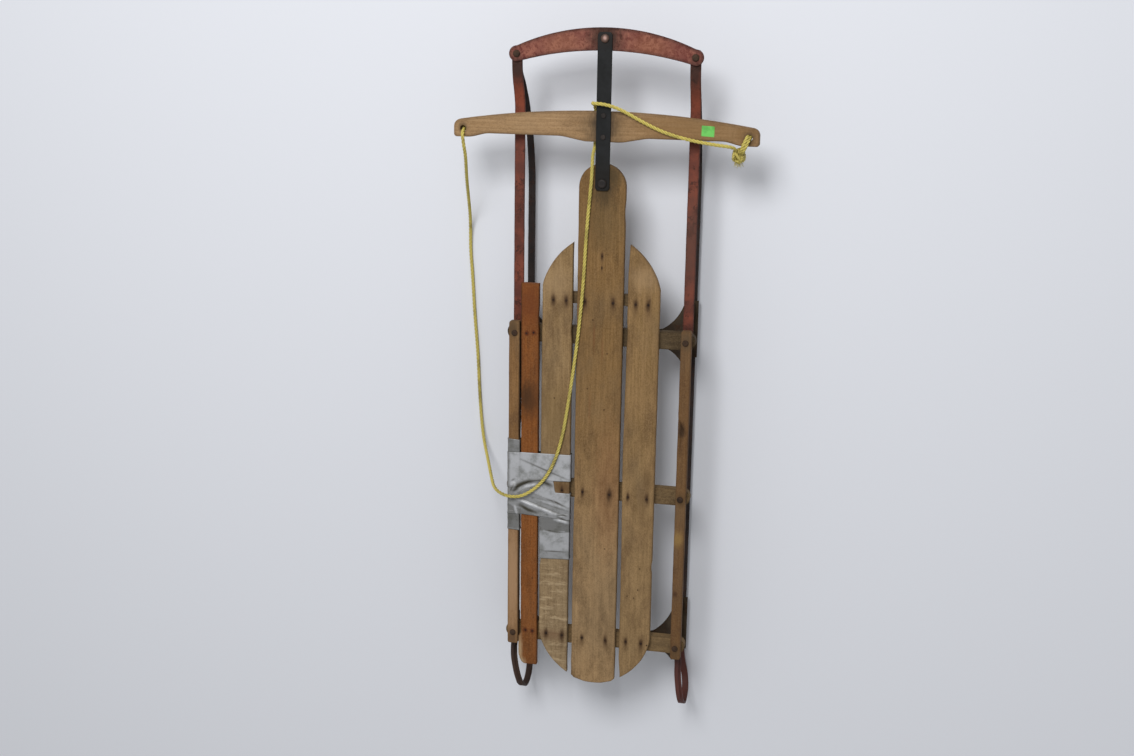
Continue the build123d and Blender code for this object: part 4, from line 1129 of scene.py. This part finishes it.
for side, bar_x, bend in (
    ("left", -runner_x, bent_tail(0.0, 0.007, -0.005)),
    ("right", runner_x, bent_tail(-0.003, 0.010, 0.003)),
):
    runner = swept_bar(
        "worn_" + side + "_runner", runner_line, bar_x, runner_section, runner_finish, bend,
    )
    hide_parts(side + "_runner")
    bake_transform(runner, "sled", "bumper", start=(0, 0.15, 0), end=(0, 0.562, 0))
    side_bar = swept_bar("worn_" + side + "_side_bar", side_line, bar_x, side_section, side_finish)
    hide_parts(side + "_side_bar")
    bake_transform(side_bar, "sled", "bumper", start=(0, 0.15, 0), end=(0, 0.562, 0))

# Repair tape: silver cloth tape wound in a hurry round the left rail, the repair board and
# the left slat where the rail had come loose. It is creased, folded and lifts at its edges.
# A crease has its line, its height, its half width and its painted shade. A crease without
# shade gets a painted highlight on its fold.
creases = (
    (((-0.140, -0.1416), (-0.091, -0.160), (-0.050, -0.1745)), -0.0008, 0.0016, 0.8),
    (((-0.153, -0.205), (-0.1428, -0.191), (-0.1255, -0.1835), (-0.104, -0.1800)),
     -0.0024, 0.0048, 1.15),
    (((-0.1486, -0.2065), (-0.1312, -0.1950), (-0.1095, -0.1885)), 0.0030, 0.0040, 0.0),
    (((-0.1020, -0.1800), (-0.0777, -0.1890)), -0.0014, 0.0042, 1.0),
    (((-0.1223, -0.2112), (-0.0903, -0.2218), (-0.0497, -0.2346)), -0.0024, 0.0030, 1.1),
    (((-0.0933, -0.2131), (-0.073, -0.2188), (-0.0527, -0.2274)), -0.0016, 0.0019, 1.0),
    (((-0.1136, -0.2149), (-0.0497, -0.2316)), 0.0022, 0.0022, 0.0),
    (((-0.1368, -0.2229), (-0.1047, -0.232), (-0.0756, -0.2414), (-0.061, -0.2461)),
     0.0030, 0.0042, 0.0),
    (((-0.1455, -0.2267), (-0.125, -0.2375), (-0.1017, -0.2430)), -0.0024, 0.0050, 1.1),
    (((-0.1360, -0.2165), (-0.1047, -0.2272), (-0.0756, -0.2372), (-0.052, -0.2440)),
     -0.0012, 0.0016, 0.9),
    (((-0.0754, -0.2518), (-0.0493, -0.257)), 0.0024, 0.0026, 0.0),
    (((-0.1454, -0.2190), (-0.1162, -0.2285)), 0.0020, 0.0016, 0.0),
    (((-0.1496, -0.2310), (-0.1452, -0.2470)), 0.0016, 0.0022, 0.0),
    (((-0.0700, -0.2436), (-0.0590, -0.2416), (-0.0510, -0.2446)), -0.0012, 0.0014, 1.1),
    (((-0.0700, -0.2470), (-0.0494, -0.2530)), -0.0014, 0.0020, 1.0),
    (((-0.1010, -0.2560), (-0.080, -0.2590), (-0.060, -0.2640)), 0.0, 0.0070, 0.45),
    (((-0.0984, -0.2720), (-0.0809, -0.2749), (-0.0534, -0.2753)), -0.0012, 0.0018, 1.0),
    (((-0.0893, -0.3028), (-0.0519, -0.2782)), 0.0008, 0.0012, 0.3),
    (((-0.0980, -0.3142), (-0.0485, -0.3125)), -0.0010, 0.0016, 0.9),
    (((-0.1602, -0.2070), (-0.1500, -0.1880)), -0.0010, 0.0020, 0.8),
    (((-0.1559, -0.1830), (-0.1487, -0.1790)), -0.0008, 0.0016, 0.7),
)
bolt_x, bolt_y, bolt_rise, bolt_reach = -0.152, -0.194, 0.0036, 0.0085
# Bands across the tape in y that are darkened as painted shade: from, to, and how dark
shaded_bands = (
    (-1.0, -0.3125, 0.38), (-0.3125, -0.2740, 0.14), (-0.2740, -0.2500, 0.66),
    (-0.2500, -0.2090, 0.40), (-0.2090, -0.1790, 0.04), (-0.1790, 1.0, 0.0),
)
tape_lift = 0.0007
tape_tucked = -0.0004
tape_step = 0.0018
fold_depth, loose_lift = 0.004, 0.0005
# Painted shade on the tape's sides and underside, and along its outer side past the left rail
under_shade, side_shade, side_shade_x = 0.85, 0.55, -0.1575
rail_low, rail_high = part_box("left_rail")
slat_low, slat_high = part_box("left_slat")
rail_left = rail_low.x - tape_lift
rail_right = rail_high.x + left_rail_widened + tape_lift
slat_left = slat_low.x - tape_lift
slat_right = slat_high.x + tape_lift
under = rail_low.z - tape_lift
rail_over = rail_high.z + tape_lift
deck_over = deck_top + tape_lift


def wrap_outline(*corners, radius=0.0016, spacing=0.0016):
    """A closed outline through corners, each cut by a small arc, as evenly spaced points."""
    points = []
    count = len(corners)
    for n in range(count):
        corner = Vector((*corners[n], 0))
        before = Vector((*corners[n - 1], 0)) - corner
        after = Vector((*corners[(n + 1) % count], 0)) - corner
        reach = min(radius, before.length / 2, after.length / 2)
        start = corner + before.normalized() * reach
        end = corner + after.normalized() * reach
        for m in range(5):
            share = m / 4
            points.append(start.lerp(corner, share).lerp(corner.lerp(end, share), share))
    points.append(points[0])
    return [(point.x, point.y) for point in even_points(points, spacing)[:-1]]


def fold_at(x, y):
    """How far folds lift the tape at a place in plan, and its painted shade, below 0 where a highlight is
    painted.
    """
    lift = 0.0
    slanted = 0.35 * (x + 0.1) if y > -0.25 else 0.0
    ragged_y = y + slanted + 0.003 * noise.noise(Vector((x * 70, y * 70, 1)))
    shade = max(crease_shade for start, end, crease_shade in shaded_bands if start <= ragged_y < end)
    for places, rise, half, crease_shade in creases:
        away = 1.0
        along = 0.0
        for n, (first, second) in enumerate(zip(places, places[1:])):
            distance, share = segment_distance(x, y, (*first, *second))
            if distance < away:
                away, along = distance, (n + share) / (len(places) - 1)
        reach = math.exp(-(away / half) ** 2) * math.sin(math.pi * (0.15 + 0.75 * along))
        lift += rise * reach
        if crease_shade:
            shade = max(shade, crease_shade * reach)
        else:
            shade = shade * (1 - 0.9 * reach) - 0.7 * reach ** 2
    away = math.hypot(x - bolt_x, y - bolt_y) / bolt_reach
    return max(lift, bolt_rise * max(0.0, 1 - away ** 4)), shade


def add_sleeve(made, outline, rear_at, front_at, lift, dirt_and_shade):
    """Tape round an outline, between two edge lines in plan, creased, with its edges turned in."""
    layers = made.verts.layers.float
    fold_light_layer = layers.get("fold_shade_and_highlight") or layers.new("fold_shade_and_highlight")
    longest = max(front_at(x) - rear_at(x) for x, z in outline)
    rows = max(4, round(longest / tape_step))
    outward = []
    for before, after in zip(outline[-1:] + outline[:-1], outline[1:] + outline[:1]):
        run_x, run_z = after[0] - before[0], after[1] - before[1]
        size = math.hypot(run_x, run_z)
        outward.append((-run_z / size, run_x / size))
    rings = []
    for row in range(-1, rows + 2):
        share = max(0.0, min(1.0, row / rows))
        ring = []
        for (x, z), (out_x, out_z) in zip(outline, outward):
            y = rear_at(x) + (front_at(x) - rear_at(x)) * share
            coarse = noise.noise(Vector((x * 70, y * 70, 3)))
            height = lift + 0.00035 * coarse + 0.0002 * noise.noise(Vector((x * 260, y * 260, 7)))
            shade = under_shade
            if z > deck_over - fold_depth:
                fold, shade = fold_at(x, y)
                height = max(height + fold, -0.0003)
            end_lift = loose_lift * math.exp(-min(share, 1 - share) * longest / 0.003)
            height += end_lift * (1 + noise.noise(Vector((x * 90, 0, 2))))
            if row in (-1, rows + 1):
                height = tape_tucked
            vertex = made.verts.new((x + out_x * height, y, z + out_z * height))
            # Painted shade over the whole rail wraps, and along the outer side of the rail
            held_shade = max(dirt_and_shade, side_shade * max(0.0, min(1.0, (side_shade_x - x) / 0.004)))
            if held_shade:
                shade = max(shade, held_shade)
            vertex[fold_light_layer] = max(-1.0, min(1.0, shade))
            ring.append(vertex)
        rings.append(ring)
    for first, second in zip(rings, rings[1:]):
        join_rings(made, first, second)


def edge_line(places):
    """An edge in plan through places given as x and y, straight between them."""
    def at(x):
        for (x0, y0), (x1, y1) in zip(places, places[1:]):
            if x <= x1:
                return y0 + (y1 - y0) * max(0.0, (x - x0) / (x1 - x0))
        return places[-1][1]
    return at


band = wrap_outline(
    (rail_left, under), (rail_left, rail_over), (rail_right, rail_over),
    (rail_right + 0.0016, deck_over), (slat_right, deck_over), (slat_right, under),
)
rail_wrap = wrap_outline(
    (rail_left, under), (rail_left, rail_over), (rail_right, rail_over), (rail_right, under),
    spacing=0.0014,
)
slat_wrap = wrap_outline(
    (slat_left, under), (slat_left, deck_over), (slat_right, deck_over), (slat_right, under),
)
made = bmesh.new()
for outline, rear_edge, front_edge, lift, dirt_and_shade in (
    (rail_wrap, ((-0.164, -0.276), (-0.142, -0.2775)), ((-0.164, -0.240), (-0.142, -0.240)),
     0.0, 0.52),
    (rail_wrap, ((-0.164, -0.140), (-0.142, -0.140)), ((-0.164, -0.104), (-0.142, -0.1055)),
     0.0, 0.52),
    (slat_wrap, ((-0.106, -0.329), (-0.047, -0.3265)), ((-0.106, -0.240), (-0.047, -0.240)),
     0.0, 0.0),
    (band, ((-0.164, -0.247), (-0.142, -0.246), (-0.105, -0.248), (-0.061, -0.2505),
            (-0.047, -0.2515)),
     ((-0.164, -0.185), (-0.120, -0.1755), (-0.095, -0.1735), (-0.079, -0.1765),
      (-0.0755, -0.2005), (-0.047, -0.2005)), 0.0003, 0.0),
    (band, ((-0.164, -0.196), (-0.142, -0.193), (-0.122, -0.182), (-0.103, -0.1785),
            (-0.080, -0.1785), (-0.047, -0.1770)),
     ((-0.164, -0.130), (-0.142, -0.129), (-0.047, -0.1275)), 0.0008, 0.0),
):
    add_sleeve(made, outline, edge_line(rear_edge), edge_line(front_edge), lift, dirt_and_shade)
tape_finish, tree, shader, place = new_material("silver_tape")
threads = add_noise(tree, place, (1600, 260, 1600), 2.0)
wefts = add_noise(tree, place, (260, 1600, 1600), 2.0)
smears = add_noise(tree, place, 55.0, 6.0, 0.65)
# Painted shade in the hollows and along the dark creases, and a painted highlight on the bright folds; the
# smears are dirt
hollow_shade = add_node(tree, "ShaderNodeAmbientOcclusion", {"Distance": 0.006}, samples=4).outputs["AO"]
fold_light = add_node(tree, "ShaderNodeAttribute", {}, attribute_name="fold_shade_and_highlight").outputs["Fac"]
colour = add_layers(
    tree, paint(169, 170, 173), (smears, 0.42, 0.72, 0.0, 1.0, paint(126, 127, 126)),
    (hollow_shade, 0.45, 0.9, 0.6, 0.0, paint(70, 68, 64)),
    (fold_light, -1.0, 0.0, 1.0, 0.0, paint(226, 227, 230)),
)
colour = add_mix(tree, fold_light, colour, paint(52, 48, 34))
rough = add_range(tree, smears, 0.4, 0.7, 0.46, 0.62)
weave = add_math(tree, "ADD", threads, wefts)
shader.inputs["Metallic"].default_value = 0.2
finish_shader(tree, shader, colour, rough, weave, depth=0.0002, strength=0.35)
tape = new_piece("repair_tape", made, tape_finish)
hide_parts("tape_front_band", "tape_rear_band", "tape_slat_wrap", "tape_rail_wraps")
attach(tape, "sled")

# Studio: a plain pale floor under the sled, one square soft lamp high up ahead of it, and the
# even light of a pale room.
floor_half = 6.0
made = bmesh.new()
floor_corners = ((-1, -1), (1, -1), (1, 1), (-1, 1))
made.faces.new([made.verts.new((x * floor_half, y * floor_half, 0)) for x, y in floor_corners])
floor_finish, tree, shader, place = new_material("pale_floor")
floor_look = {"Base Color": paint(214, 216, 222), "Roughness": 0.8, "Specular IOR Level": 0.2}
wired(tree, shader, floor_look)
floor = new_piece("floor", made, floor_finish)

lamp_data = bpy.data.lights.new("key_lamp", "AREA")
lamp_data.shape = "SQUARE"
lamp_data.size = 1.3
lamp_data.energy = 85
lamp = bpy.data.objects.new("key_lamp", lamp_data)
lamp.location = (-0.3, 2.0, 2.9)
lamp.rotation_euler = (Vector((0, 0, 0.1)) - lamp.location).to_track_quat("-Z", "Y").to_euler()
bpy.context.scene.collection.objects.link(lamp)

world = bpy.data.worlds.new("room")
world.use_nodes = True
bpy.context.scene.world = world
room_light = world.node_tree.nodes["Background"]
wired(world.node_tree, room_light, {"Color": (0.98, 0.99, 1.0, 1), "Strength": 0.5})
